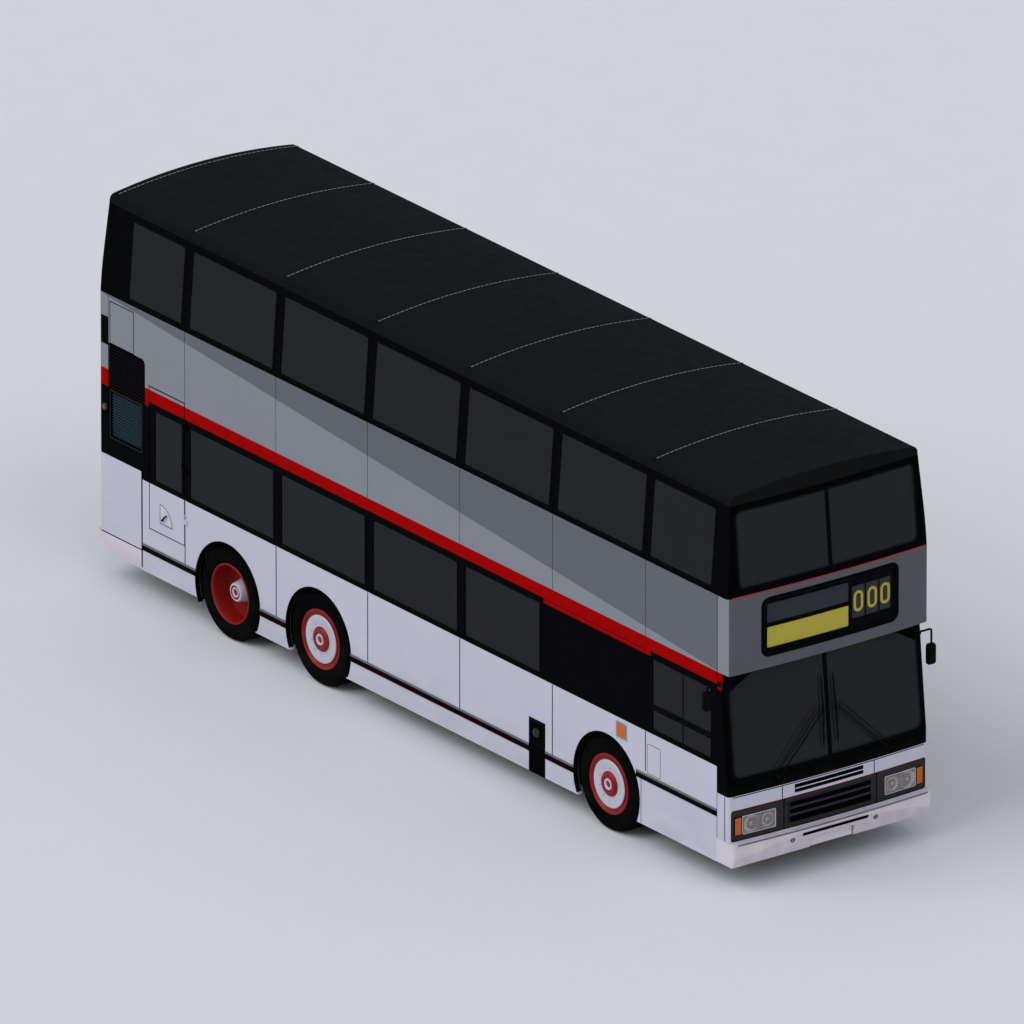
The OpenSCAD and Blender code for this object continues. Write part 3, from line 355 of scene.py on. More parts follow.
class Tree:
    """A material's node tree, with short ways to add nodes."""

    def __init__(self, name):
        self.mat = bpy.data.materials.new(name)
        self.mat.use_nodes = True
        self.nodes, self.links = self.mat.node_tree.nodes, self.mat.node_tree.links
        self.shader = self.nodes["Principled BSDF"]
        self.place = self.nodes.new("ShaderNodeTexCoord").outputs["Object"]
        split = self.nodes.new("ShaderNodeSeparateXYZ")
        self.link(self.place, split.inputs[0])
        self.x, self.y, self.z = split.outputs

    def link(self, a, b):
        self.links.new(a, b)

    def put(self, socket, value):
        if isinstance(value, bpy.types.NodeSocket):
            self.link(value, socket)
        else:
            socket.default_value = value

    def set(self, name, value):
        self.shader.inputs[name].default_value = value

    def math(self, op, a, b=0.0, c=None):
        node = self.nodes.new("ShaderNodeMath")
        node.operation = op
        for s, v in zip(node.inputs, (a, b) if c is None else (a, b, c)):
            self.put(s, v)
        return node.outputs[0]

    def mix(self, fac, a, b, blend="MIX"):
        node = self.nodes.new("ShaderNodeMix")
        node.data_type, node.blend_type = "RGBA", blend
        self.put(node.inputs["Factor"], fac)
        self.put(node.inputs[6], a)
        self.put(node.inputs[7], b)
        return node.outputs[2]

    def noise(self, scale, detail=4.0, stretch=None):
        node = self.nodes.new("ShaderNodeTexNoise")
        node.inputs["Scale"].default_value = scale
        node.inputs["Detail"].default_value = detail
        place = self.place
        if stretch:
            mapping = self.nodes.new("ShaderNodeMapping")
            mapping.inputs["Scale"].default_value = stretch
            self.link(place, mapping.inputs[0])
            place = mapping.outputs[0]
        self.link(place, node.inputs["Vector"])
        return node.outputs[0]

    def span(self, value, a, b, lo, hi):
        node = self.nodes.new("ShaderNodeMapRange")
        for s, v in zip(list(node.inputs)[:5], (value, a, b, lo, hi)):
            self.put(s, v)
        return node.outputs[0]

    def over(self, value, limit):
        return self.math("GREATER_THAN", value, limit)

    def under(self, value, limit):
        return self.math("LESS_THAN", value, limit)

    def both(self, mask, *masks):
        for m in masks:
            mask = self.math("MULTIPLY", mask, m)
        return mask

    def within(self, value, lo, hi):
        """1 where value lies between lo and hi."""
        return self.both(self.over(value, lo), self.under(value, hi))

    def bump(self, height, strength, distance):
        node = self.nodes.new("ShaderNodeBump")
        node.inputs["Strength"].default_value = strength
        node.inputs["Distance"].default_value = distance
        self.link(height, node.inputs["Height"])
        self.link(node.outputs[0], self.shader.inputs["Normal"])


DUST = rgb(120, 108, 94)


def finish(t, colour, rough, vary=0.06, scale=2.0, grain=(90.0, 0.15, 0.0006), dust=0.0, metal=0.0, spec=0.5):
    """Adds colour variation, uneven gloss, fine surface grain and road dust to a colour."""
    cloud = t.noise(scale, 5.0)
    light = t.mix(t.span(cloud, 0.3, 0.7, 0.0, 1.0), (1 - vary, 1 - vary, 1 - vary, 1), (1, 1, 1, 1))
    colour = t.mix(1.0, colour, light, "MULTIPLY")
    if dust:
        low = t.span(t.z, 0.25, 1.15, 1.0, 0.0)
        patch = t.span(t.noise(6.0, 6.0, (0.35, 1.0, 1.0)), 0.35, 0.75, 0.0, 1.0)
        colour = t.mix(t.both(t.both(low, patch), dust), colour, DUST)
    t.link(colour, t.shader.inputs["Base Color"])
    t.link(t.span(t.noise(scale * 6, 4.0), 0.3, 0.7, rough[0], rough[1]), t.shader.inputs["Roughness"])
    if grain:
        t.bump(t.noise(grain[0], 3.0), grain[1], grain[2])
    t.set("Metallic", metal)
    t.set("Specular IOR Level", spec)
    return t.mat


def plain(name, colour, rough=(0.4, 0.55), **more):
    return finish(Tree(name), rgb(*colour), rough, **more)


# The third colour is a darker silver, used as painted shade on the sides' silver band.
WHITE, SILVER, SHADED_SILVER = rgb(190, 190, 204), rgb(130, 134, 141), rgb(100, 104, 109)
FRONT_GREY, RED, BLACK = rgb(90, 90, 95), rgb(152, 1, 3), rgb(3, 3, 4)


def livery(name):
    """White below, black window band, red band, two greys, black above: by place on the body. The darker grey
    over part of the sides' silver band is painted shade.
    """
    t = Tree(name)
    x, z = t.x, t.z
    y = t.math("ABSOLUTE", t.y)
    side = t.both(t.over(y, 1.19), t.under(x, FACE - 0.012))
    nose = t.both(t.over(x, FACE - 0.35), t.math("SUBTRACT", 1.0, side))
    c = t.mix(t.over(z, BAND_FOOT), WHITE, BLACK)
    tail = t.both(t.under(x, X(9.87)), t.within(z, 1.28, 1.382))
    c = t.mix(tail, c, WHITE)
    corner = t.both(t.over(x, X(0.194)), t.within(z, 1.012, 1.31))
    c = t.mix(corner, c, BLACK)
    c = t.mix(t.within(z, RED_FOOT, BROW), c, RED)
    for a, b in ((9.757, 12.0), (1.297, 3.079), (0.12, 0.19)):
        c = t.mix(t.both(t.within(x, X(b), X(a)), t.within(z, 2.126, 2.2), side), c, RED)
    c = t.mix(t.both(nose, t.within(z, 1.5, 2.4)), c, BLACK)
    c = t.mix(t.both(t.over(x, X(0.12)), t.within(z, 2.0, BROW)), c, BLACK)
    c = t.mix(t.within(z, BROW, BELT), c, SILVER)
    # Painted shade: the sides' silver band turns darker grey above a line that slopes down towards the front.
    # The front corner strip stays silver as the lit side of the same painted shading.
    shade_line = t.math("MULTIPLY_ADD", x, -0.077, 3.11 + 0.077 * X(10.4))
    c = t.mix(t.both(t.over(z, shade_line), t.within(z, BROW, BELT), side), c, SHADED_SILVER)
    c = t.mix(t.both(t.over(x, X(0.19)), t.within(z, BROW, BELT), side), c, SILVER)
    c = t.mix(t.both(nose, t.within(z, BROW, BELT)), c, FRONT_GREY)
    c = t.mix(t.over(z, BELT), c, BLACK)
    # Faces that look inwards wear the interior trim colour
    normal = t.nodes.new("ShaderNodeSeparateXYZ")
    t.link(t.nodes.new("ShaderNodeNewGeometry").outputs["Normal"], normal.inputs[0])
    inward = t.under(t.both(normal.outputs[1], t.y), -0.6)
    inner_end = t.both(t.under(t.both(normal.outputs[0], x), -2.0),
                       t.over(t.math("ABSOLUTE", x), 4.95))
    c = t.mix(t.math("MAXIMUM", inward, inner_end), c, rgb(150, 146, 138))
    return finish(t, c, (0.34, 0.46), vary=0.05, scale=1.3, grain=(140.0, 0.1, 0.0004), dust=0.22, spec=0.01)


def glass(name, alpha, colour=(12, 12, 14)):
    t = Tree(name)
    cloud = t.span(t.noise(1.5, 3.0), 0.35, 0.65, 0.0, 1.0)
    t.link(t.mix(cloud, rgb(*colour), rgb(*[c + 4 for c in colour])), t.shader.inputs["Base Color"])
    t.link(t.span(t.noise(9.0, 4.0), 0.3, 0.8, 0.06, 0.14), t.shader.inputs["Roughness"])
    t.set("Alpha", alpha)
    t.set("Specular IOR Level", 0.12)
    return t.mat


def moquette(name):
    """Ribbed cut-pile seat cloth: a blue ground with small rust and pale flecks."""
    t = Tree(name)
    cells = t.nodes.new("ShaderNodeTexVoronoi")
    cells.inputs["Scale"].default_value = 48.0
    t.link(t.place, cells.inputs["Vector"])
    tone = t.nodes.new("ShaderNodeSeparateColor")
    t.link(cells.outputs["Color"], tone.inputs[0])
    fleck = t.mix(t.over(tone.outputs[0], 0.55), rgb(132, 150, 178), rgb(126, 42, 34))
    shown = t.both(t.under(cells.outputs["Distance"], 0.26), t.over(tone.outputs[1], 0.3))
    rib = t.math("SINE", t.both(t.math("ADD", t.x, t.z), 1600.0))
    c = t.mix(shown, rgb(36, 50, 84), fleck)
    c = t.mix(t.span(rib, -1.0, 1.0, 0.35, 0.0), c, rgb(14, 20, 36))
    finish(t, c, (0.85, 0.95), vary=0.14, scale=3.0, grain=None, spec=0.2)
    pile = t.math("MULTIPLY_ADD", t.noise(900.0, 3.0), 0.6, t.span(rib, -1.0, 1.0, 0.0, 0.4))
    t.bump(pile, 0.5, 0.0012)
    t.set("Sheen Weight", 0.35)
    t.set("Sheen Roughness", 0.4)
    return t.mat


BODY = livery("body_livery")
ROOF = plain("roof_paint_black", (19, 19, 19), (0.55, 0.68), vary=0.12, scale=1.1, spec=0.02)
SEAM = plain("seam_black", (4, 4, 5), (0.6, 0.75), spec=0.01)
SEALANT = plain("roof_sealant", (128, 132, 138), (0.5, 0.7))
RUBBER = plain("rubber_black", (5, 5, 6), (0.55, 0.7), grain=(240.0, 0.25, 0.0006), spec=0.02)
SATIN = plain("satin_black", (5, 5, 6), (0.35, 0.5), spec=0.04)
MOULD_GREY = plain("moulding_grey", (98, 100, 106), (0.3, 0.45), metal=0.3)
WHITE_PAINT = plain("white_paint", (196, 196, 208), (0.3, 0.42), dust=0.2)
BUMPER = plain("bumper_grey_white", (207, 200, 210), (0.38, 0.52), dust=0.3, grain=(160.0, 0.2, 0.0006))
DARK_PANEL = plain("lamp_panel_grey", (27, 27, 30), (0.4, 0.55), grain=(300.0, 0.2, 0.0005), spec=0.25)
STEEL = plain("bare_steel", (150, 152, 158), (0.25, 0.4), metal=1.0)
CHROME = plain("bright_metal", (205, 208, 214), (0.08, 0.16), metal=1.0, grain=None)
WINDOW = glass("window_glass_dark", 0.91, (16, 16, 19))
SCREEN = glass("windscreen_glass_dark", 0.89, (30, 30, 33))
CLEAR = glass("blind_glass_clear", 0.12)
LENS = glass("lamp_lens_clear", 0.32, (176, 168, 170))
AMBER = plain("amber_lens", (200, 98, 12), (0.15, 0.25), spec=0.5, grain=None)
RED_LENS = plain("red_lens", (150, 8, 8), (0.12, 0.22), spec=0.5, grain=None)
TYRE = plain("tyre_rubber", (5, 5, 6), (0.75, 0.9), grain=(220.0, 0.35, 0.001), dust=0.03, vary=0.2,
             spec=0.02)
WHEEL_RED = plain("wheel_red", (128, 6, 8), (0.35, 0.5), dust=0.06, grain=(120.0, 0.2, 0.0006), spec=0.25)
WHEEL_SILVER = plain("wheel_silver", (186, 186, 198), (0.35, 0.5), dust=0.12, metal=0.1)
CHASSIS = plain("chassis_black", (28, 29, 31), (0.6, 0.8), dust=0.6, vary=0.2, scale=5.0,
                grain=(60.0, 0.4, 0.002))
IRON = plain("cast_iron", (52, 50, 48), (0.6, 0.8), metal=0.4, dust=0.5, grain=(120.0, 0.5, 0.002))
FLOOR = plain("floor_vinyl", (58, 60, 64), (0.5, 0.7), grain=(400.0, 0.4, 0.001))
CLOTH = moquette("seat_moquette")
CONSOLE = plain("console_plastic", (40, 41, 44), (0.5, 0.65), grain=(350.0, 0.4, 0.001))
PLASTIC = plain("black_plastic", (7, 7, 8), (0.45, 0.6), grain=(350.0, 0.3, 0.0008), spec=0.04)
INSERT = plain("glazing_insert", (14, 24, 30), (0.5, 0.6), spec=0.1, grain=None)
YELLOW = plain("blind_yellow", (214, 200, 70), (0.6, 0.75), grain=None, vary=0.03)
SLATE = plain("blind_slate", (38, 47, 51), (0.6, 0.75), grain=None)
TEAL = plain("grille_teal", (26, 52, 60), (0.45, 0.6), metal=0.3, spec=0.3)
PALE = plain("pale_bezel", (120, 160, 186), (0.35, 0.5))
IRON_CAP = plain("filler_cap", (44, 45, 48), (0.35, 0.5), metal=0.6)
LENS_WHITE = plain("white_lens", (196, 198, 200), (0.12, 0.22), grain=None)
POLE_YELLOW = plain("pole_yellow", (196, 140, 22), (0.35, 0.5))
PLATE_WHITE = plain("plate_blank", (205, 198, 207), (0.3, 0.4), grain=None)

LOOKS = (
    (BODY, "lower_side_left lower_side_right upper_side_left upper_side_right front_lower_panel"
           " front_upper_panel rear_panel emergency_door engine_lid door_front_leaf door_rear_leaf"),
    (WINDOW, "side_windows door_front_glass door_rear_glass emergency_glass"),
    (FLOOR, "lower_floor upper_floor staircase"), (CLOTH, "lower_seats upper_seats driver_seat"),
    (CHASSIS, "chassis_frame front_axle rear_axles"), (BUMPER, "front_bumper rear_bumper"),
    (IRON, "engine knuckle_left knuckle_right track_rod"), (ROOF, "roof"), (SCREEN, "windscreens"),
    (CONSOLE, "driver_console"), (DARK_PANEL, "front_lamps"), (PLASTIC, "mirrors"), (SATIN, "wipers"))
look_of = {name: look for look, names in LOOKS for name in names.split()}
for name, obj in NODES.items():
    obj.data.materials.clear()
    obj.data.materials.append(look_of.get(name) or (TYRE if "tyre" in name else WHEEL_RED))

# ---------------------------------------------------------------- seams, mouldings and window rubbers

UP_SILL, UP_TOP = 3.188, 4.02
LOW_SILL, LOW_TOP = 1.341, 2.109
PILLAR = 0.062


def lower_panes(*bays):
    return [(BAYS[i + 1] + 0.083, BAYS[i] - 0.042) for i in bays]


CAB = (X(1.268), X(0.288))
UPPER_PANES = [(BAYS[0] + 0.049, X(0.297)), *[(BAYS[i + 1] + PILLAR, BAYS[i] - PILLAR) for i in range(5)],
               (REAR + 0.491, BAYS[5] - PILLAR)]
LOWER_RIGHT = [CAB, (BAYS[2] + 0.083, BAYS[1] - 0.209), *lower_panes(2, 3, 4)]
LOWER_LEFT = [(BAYS[5] - 0.518, BAYS[5] - PILLAR), (BAYS[1] + 0.083, BAYS[0] - 0.075),
              *lower_panes(1, 2, 3, 4)]
CORNER, TAIL, TAIL_EDGE = X(0.194), REAR + 0.162, X(9.87)

p = Piece()
for s, p.at in SIDES:
    for i, b in enumerate(BAYS):
        p.line(b, WAIST - 0.006, b, 2.318, 0.008)
        if s < 0 or i:
            p.line(b, 1.288, b, 0.86 if i == 0 else 0.53, 0.016)
    p.line(CORNER + 0.004, 0.525 if s < 0 else 2.32, CORNER + 0.004, WAIST, 0.01)
    p.line(X(0.062), 0.53, X(0.062), 1.006, 0.014)
    p.line(TAIL - 0.004, 1.384, TAIL - 0.004, WAIST, 0.008)
    p.line(TAIL - 0.004, WAIST, TAIL - 0.004, 4.06, 0.008, step=0.2)
    p.line(TAIL_EDGE, 0.335, TAIL_EDGE, 1.384, 0.022, 0.003)
    p.line(REAR + 0.03, 1.38, TAIL_EDGE, 1.38, 0.01)
    p.line(REAR + 0.03, 0.521, TAIL_EDGE, 0.521, 0.01)
    p.line(REAR + 0.03, WAIST + 0.001, X(0.03), WAIST + 0.001, 0.014, 0.003)
    p.line(X(2.57), 0.3, X(2.57), 0.45, 0.006)
p.at = RIGHT
p.line(X(1.45), 0.275, X(1.45), 0.765, 0.011)
p.line(X(1.382), 1.3, X(1.382), 2.17, 0.009)
for u0, u1, v0, v1, w in ((10.409, 10.006, 2.612, 3.068, 0.012), (1.347, 1.132, 0.847, 1.165, 0.007)):
    p.hoop((X(u0), X(u1), v0, v1, 0.012, 3), w, -0.002, 0.0015)
p.strip([(X(1.4), 2.172), (X(3.07), 2.172), (X(3.07), 1.3)], 0.005, -0.002, 0.0012)
p.make("panel_seams", [SEAM], smooth=0)

p = Piece()
REAR_RUNS = [(X(7.862), X(7.415), 0.495), (X(9.858), X(8.955), 0.567)]
RIGHT_RUNS = [(X(3.047), X(2.575), 0.495), (X(6.325), X(3.318), 0.495), *REAR_RUNS,
              (X(1.53), CORNER + 0.003, 0.797)]
for p.at, runs in ((RIGHT, RIGHT_RUNS), (LEFT, [(X(6.325), X(2.575), 0.495), *REAR_RUNS])):
    for u0, u1, v in runs:
        p.block(u0, u1, v - 0.04, v + 0.012, -0.002, 0.01, 0.003)
        p.block(u0, u1, v + 0.012, v + 0.036, -0.002, 0.008, 0.003, m=1)
        if v < 0.5:
            p.line(u0, v - 0.0455, u1, v - 0.0455, 0.009, 0.003, m=2)
p.make("skirt_mouldings", [RUBBER, MOULD_GREY, RED_LENS])

p = Piece()
for p.at, row, v0, v1 in ((RIGHT, UPPER_PANES, UP_SILL, UP_TOP), (LEFT, UPPER_PANES, UP_SILL, UP_TOP),
                          (RIGHT, LOWER_RIGHT, LOW_SILL, LOW_TOP), (LEFT, LOWER_LEFT, LOW_SILL, LOW_TOP)):
    for u0, u1 in row:
        p.hoop((u0 - 0.001, u1 + 0.001, v0 - 0.001, v1 + 0.001, 0.026, 4), 0.022, -0.007, 0.004)
# Bars of the cab window
p.at = RIGHT
p.block(CAB[0], CAB[1], 1.556, 1.618, -0.007, 0.003, 0.003)
p.block(X(0.768), X(0.757), LOW_SILL, LOW_TOP, -0.007, -0.002, 0.002)
p.hoop((-0.88, 0.88, UP_SILL, 3.95, 0.06, 5, 0.15), 0.03, -0.007, 0.005, at=rear_at)
p.make("window_rubbers", [RUBBER])

p = Piece(roof_at)
for x in map(X, (10.432, 9.135, 7.571, 6.03, 4.474, 2.941, 1.378)):
    p.line(x, -1.15, x, 1.15, 0.016, 0.002, step=0.08, m=1)
    for v in [2.24 * (k + 0.5) / 40 - 1.12 for k in range(40)]:
        p.strip([(x, v - 0.021), (x, v + 0.021)], 0.009, 0.0015, 0.0035)
p.make("roof_seams", [SEALANT, SEAM])

# ---------------------------------------------------------------- front

p = Piece(front_at)
p.hoop((-1.13, 1.13, 3.212, 4.04, 0.08, 6, 0.12), 0.03, -0.008, 0.006)
p.hoop((-1.105, 1.105, 3.237, 4.015, 0.06, 6, 0.12), 0.006, -0.004, 0.0005, m=1)
p.hoop((-1.195, 1.195, 1.176, 2.285, 0.1, 6, 0.12), 0.036, -0.008, 0.007)
p.hoop((-1.165, 1.165, 1.206, 2.255, 0.08, 6, 0.12), 0.007, -0.004, 0.0005, m=1)
for v0, v1 in ((3.212, 4.04), (1.176, 2.285)):
    p.strip([(0, v0), (0, (v0 + v1) / 2), (0, v1)], 0.056, -0.016, 0.006)
p.hoop((-0.84, 0.84, 2.452, 3.05, 0.075, 7, 0.1), 0.052, -0.03, 0.012)
p.line(-1.2, BROW - 0.012, 1.2, BROW - 0.012, 0.02, 0.012, step=0.1)
p.make("front_rubbers", [RUBBER, INSERT])

p = Piece(front_at)
p.line(-1.22, WAIST + 0.004, 1.22, WAIST + 0.004, 0.014, 0.003, step=0.1, m=1)
p.line(-1.2, 1, 1.2, 1, 0.012, 0.0015, step=0.1)
p.line(-1.2, 0.857, 1.2, 0.857, 0.0045, 0.0035, step=0.1, m=1)
for y, top in ((-0.6, -0.58), (0.552, 0.58)):
    p.line(y, 0.862, y, 1, 0.012)
    p.line(top, 0.53, top, 0.853, 0.012, 0.004)
# Two air slots in the white band, with a slat between them
p.plate(rounded(-0.449, 0.411, 0.89, 0.981, 0.006, 3), -0.004, 0.0015, 0.001, cols=14)
p.block(-0.447, 0.409, 0.9315, 0.9405, 0, 0.008, 0.002, m=2, step=0.1)
p.make("nose_trim", [SEAM, RED_LENS, WHITE_PAINT])

# Lamp panel with round reflectors in square bezels, indicators and the main grille
p = Piece(front_at)
LAMP_Z0, LAMP_Z1 = 0.588, 0.78
BOWL = cap((0, 6), (30, 7), (62, 12), (84, 16.5), (88, 18.5), (92, 16.5))
BULB = mm((0, 8), (16, 9), (20, 13), (12, 18), (0, 20))
for s in (-1, 1):
    u0, u1 = sorted((s * 0.688, s * 1.084))
    p.hoop((u0, u1, LAMP_Z0, LAMP_Z1, 0.014, 4, 0.08), 0.01, -0.002, 0.01, m=1)
    p.plate(rounded(u0, u1, LAMP_Z0, LAMP_Z1, 0.014, 4), -0.002, 0.0012, 0.0005, cols=8, m=2)
    for c, k in ((0.98, 1), (0.784, 0.8)):
        lamp = s * c, (LAMP_Z0 + LAMP_Z1) / 2
        p.knob(*lamp, [(r * k, h) for r, h in BOWL], 40, m=3, out=-0.012)
        p.knob(*lamp, BULB, 20, m=1, out=-0.012)
    u0, u1 = sorted((s * 1.102, s * 1.178))
    p.hoop((u0, u1, 0.592, 0.776, 0.008, 3), 0.007, -0.002, 0.009)
    for k in range(6):
        a = u0 + (u1 - u0) * k / 6
        p.block(a + 0.001, a + (u1 - u0) / 6 - 0.001, 0.594, 0.774, 0, 0.011, 0.003, m=4)
p.plate(rounded(-0.515, 0.505, 0.58, 0.804, 0.006, 3), -0.001, 0.0015, 0.0008, cols=16)
p.hoop((-0.52, 0.51, 0.576, 0.808, 0.006, 3, 0.1), 0.01, 0, 0.01, m=5)
for v in (0.663, 0.739):
    p.block(-0.515, 0.505, v - 0.013, v + 0.013, 0, 0.01, 0.003, m=5, step=0.1)
for v in (0.603, 0.628, 0.692, 0.711, 0.768, 0.787):
    p.block(-0.513, 0.503, v - 0.0045, v + 0.0045, 0, 0.006, 0.002, step=0.1)
p.hoop((-1.215, 1.215, 0.529, 0.853, 0.02, 4, 0.1), 0.01, -0.004, 0.003)
p.make("front_lamp_units", [SEAM, CHROME, PLASTIC, CHROME, AMBER, DARK_PANEL])

p = Piece(front_at)
for s in (-1, 1):
    for a in [s * 0.886 - 0.19 + 0.0152 * k for k in range(25)]:
        p.block(a + 0.0006, a + 0.0146, 0.594, 0.774, 0.008, 0.0125, 0.0018)
p.make("headlamp_lenses", [LENS])

p = Piece(front_at)
p.plate(rounded(-0.838, 0.838, 2.454, 3.048, 0.07, 5), -0.04, -0.024, 0.002, cols=24)
p.plate(rounded(-0.774, 0.229, 2.785, 2.985, 0.006, 2), -0.024, -0.021, 0.001, cols=14, m=1)
p.plate(rounded(-0.774, 0.229, 2.52, 2.735, 0.006, 2), -0.024, -0.02, 0.001, cols=14, m=2)
for u0, u1 in ((0.278, 0.437), (0.457, 0.611), (0.631, 0.77)):
    p.plate(rounded(u0, u1, 2.585, 2.925, 0.006, 2), -0.024, -0.021, 0.001, cols=3, m=1)
    c = (u0 + u1) / 2
    p.hoop((c - 0.046, c + 0.046, 2.66, 2.855, 0.045, 6), 0.03, -0.021, -0.0185, m=2)
p.make("destination_blind", [SEAM, SLATE, YELLOW], smooth=0.5)

p = Piece(front_at)
for v0, v1, half, r in ((3.2125, 4.0395, 1.1295, 0.08), (1.1765, 2.2845, 1.1945, 0.1)):
    for s in (-1, 1):
        inner = s * 0.0252
        pane = [(u, v) if s * u > half - r - 1e-6 else (inner, v0 if v < (v0 + v1) / 2 else v1)
                for u, v in rounded(*sorted((inner, s * half)), v0, v1, r, 6)]
        p.plate(pane, -0.014, -0.006, 0.001, cols=18)
p.plate(rounded(-0.8395, 0.8395, 2.4525, 3.0495, 0.074, 6), -0.012, -0.004, 0.001, cols=24, m=1)
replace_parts(p.make("front_glazing", [SCREEN, CLEAR]), "windscreens")

p = Piece(bumper_at)
# Grey strip along the top of the front bumper: a painted shadow line where the top ledge meets the body.
p.line(-1.19, 0.508, 1.19, 0.508, 0.018, 0.003, step=0.08, m=1)
p.plate(rounded(-0.4, 0.42, 0.432, 0.468, 0.006, 3), -0.002, 0.004, 0.001, cols=14)
p.block(-0.262, 0.262, 0.274, 0.388, -0.001, 0.006, 0.003, m=2, at=plate_at)
for y in (-0.268, 0.268):
    p.line(y, 0.272, y, 0.392, 0.009, 0.004, at=plate_at)
p.line(-0.272, 0.27, 0.272, 0.27, 0.008, 0.004, at=plate_at)
for y in (-0.235, 0.235):
    p.knob(y, 0.331, mm((0, 4), (5, 3), (6, 0), (0, 0)), 12, m=3, out=0.005, at=plate_at)
for s in (-1, 1):
    p.knob(s * 0.52, 0.42, mm((24, 0), (29, 0), (29, 7), (27, 9), (24, 9)),
           28, out=-0.006)
p.make("bumper_details", [SEAM, MOULD_GREY, PLATE_WHITE, STEEL])

# Wipers: pantograph arms on capped pivots, with framed blades
p = Piece()
for s in (-1, 1):
    piv = front_at(s * 0.67, 1.13)
    p.knob(s * 0.67, 1.13, mm((0, 52), (12, 50), (18, 42), (26, 12), (34, 4),
                            (34, 0.3), (0, 0.3)), 24, at=front_at)
    tip = front_at(s * 0.1, 1.69, 0.048)
    for off, r in ((0, 0.0075), (0.042, 0.005)):
        a = piv + Vector((0.04, s * off, off * 0.9))
        b = tip + Vector((0, s * off * 0.5, off * 1.1))
        mid = (a + b) / 2 + Vector((0.018, 0, 0))
        p.tube(bend([a, mid, b], 0.2), r, 8)
    foot, top = front_at(s * 0.09, 1.31, 0.018), front_at(s * 0.072, 2.04, 0.018)
    span = top - foot
    p.tube([foot, foot + span * 0.5, top], 0.0055, 8)
    for f in (0.12, 0.5, 0.88):
        a, b = foot + span * (f - 0.09), foot + span * (f + 0.09)
        p.tube(bend([a, (a + b) / 2 + Vector((0.02, 0, 0)), b], 0.05, 4), 0.004, 6)
    hump = (foot + top) / 2 + Vector((0.034, 0, 0))
    p.tube(bend([foot + span * 0.12, hump, foot + span * 0.88], 0.3, 6), 0.0045, 6)
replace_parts(p.make("wiper_sets", [SATIN]), "wipers")

# Mirrors: moulded heads on bent tubes, with the glass to the rear
p = Piece()
MX, MY = X(0.15), 1.408
MIRRORS = {-1: (1.94, 2.145, 2.19), 1: (1.765, 1.99, 2.15)}
for s, (z0, z1, arm_z) in MIRRORS.items():
    def head_at(u, v, out=0, s=s):
        return Vector((MX + out, s * MY + u, v))

    def outline(g, r, z0=z0, z1=z1):
        return rounded(-0.0525 + g, 0.0525 - g, z0 + g, z1 - g, r, 6)

    shells = [(0.012, -0.02, 0.022), (0.008, -0.027, 0.024), (0.002, -0.027, 0.026), (0, -0.02, 0.028),
              (0, 0.004, 0.028), (0.004, 0.016, 0.028), (0.014, 0.025, 0.026), (0.03, 0.028, 0.018)]
    p.add([head_at(u, v, h) for g, h, r in shells for u, v in outline(g, r)], loft_faces(28, len(shells)))
    p.plate(outline(0.013, 0.02), 0.0195, 0.0215, 0.001, m=1, at=lambda u, v, out: head_at(u, v, -out))
    arm = [(MX, s * MY, z1 - 0.01), (MX, s * MY, arm_z), (MX, s * (HALF + 0.004), arm_z)]
    p.tube(bend(arm, 0.03, 6), 0.011, 12)
    p.tube([(MX, s * MY, z1 - 0.025), (MX, s * MY, z1 + 0.005)], 0.017, 12)
    p.lathe((MX, s * HALF, arm_z), (0, s, 0),
            mm((0, 0.6), (30, 0.6), (30, 7), (24, 13), (14, 20), (0, 20)), 24)
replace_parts(p.make("mirror_units", [SATIN, CHROME]), "mirrors")

# ---------------------------------------------------------------- wheels

OUT, TYRE_W, TWIN_GAP = HALF - 0.02, 0.28, 0.03
HALF_TREAD = mm((318.6, -27), (326, -18), (346, -9), (366, -5), (370, -1.5), (377, -1.5), (381, -4.5),
                (404, -1), (420, 1), (436, 1), (440, -3), (444, -3), (448, 0), (466, -6), (478, -12),
                (483, -16), (487, -21), (494, -34), (499, -48), (500, -62), (500, -78), (490, -81),
                (490, -89), (500, -92), (500, -119), (490, -122), (490, -130), (500, -133))
TREAD = HALF_TREAD + [(r, -TYRE_W - h) for r, h in reversed(HALF_TREAD)]


def tread_wave(j, i):
    """Shoulder lugs, and blocks between the grooves, at every 4th and 8th step round the tyre."""
    r, h = TREAD[j]
    if r < 0.4825:
        return 0
    if r < 0.4995:
        return -0.007 if i % 4 == 0 else 0
    return -0.006 if (i + (2 if abs(h + 0.14) < 0.04 else 0)) % 8 == 0 and r > 0.495 else 0


SINGLE_RIM = mm((0, 1), (20, 1), (27, -4), (34, -5), (40, 5), (58, 7), (63, -1), (68, -1), (74, 9),
                (82, 11.5), (102, 9), (120, -1), (130, -12), (134, -21), (150, -23), (200, -13), (236, -7),
                (250, -9), (256, -17), (262, -30), (280, -28), (296, -11), (307, -4), (316, -6), (321, -12),
                (317.5, -20), (317.5, -254), (304, -254), (304, -122), (258, -82), (120, -66), (50, -59),
                (0, -57))
SINGLE_MATS = [0] * 3 + [1] * 3 + [0] * 7 + [1] * 5 + [0] * 14
TWIN_RIM = mm((0, -79), (22, -79), (27, -84), (34, -84), (38, -77), (52, -76), (55, -81), (72, -81),
              (76, -76), (92, -78), (99, -86), (124, -208), (132, -214), (270, -214), (290, -206),
              (298, -188), (298, -60), (302, -14), (308, -6), (316, -7), (321, -13), (317.5, -20),
              (317.5, -564), (304, -564), (304, -236), (120, -236), (120, -328), (45.5, -328), (45.5, -172),
              (0, -172))
TWIN_MATS = [0] * 3 + [1] * 3 + [0] * 2 + [1] * 4 + [0] * 17

NUT = mm((0, 12), (5, 12), (7, 8), (11.5, 7), (12.5, 5), (12.5, 0), (15, -1), (15, -4), (0, -4))
WHEELS = [(f"{end}_{d}", axle, s) for end, axle in zip(("front_wheel", "middle_wheel", "rear_wheels"), AXLES)
          for d, s in (("left", 1), ("right", -1))]

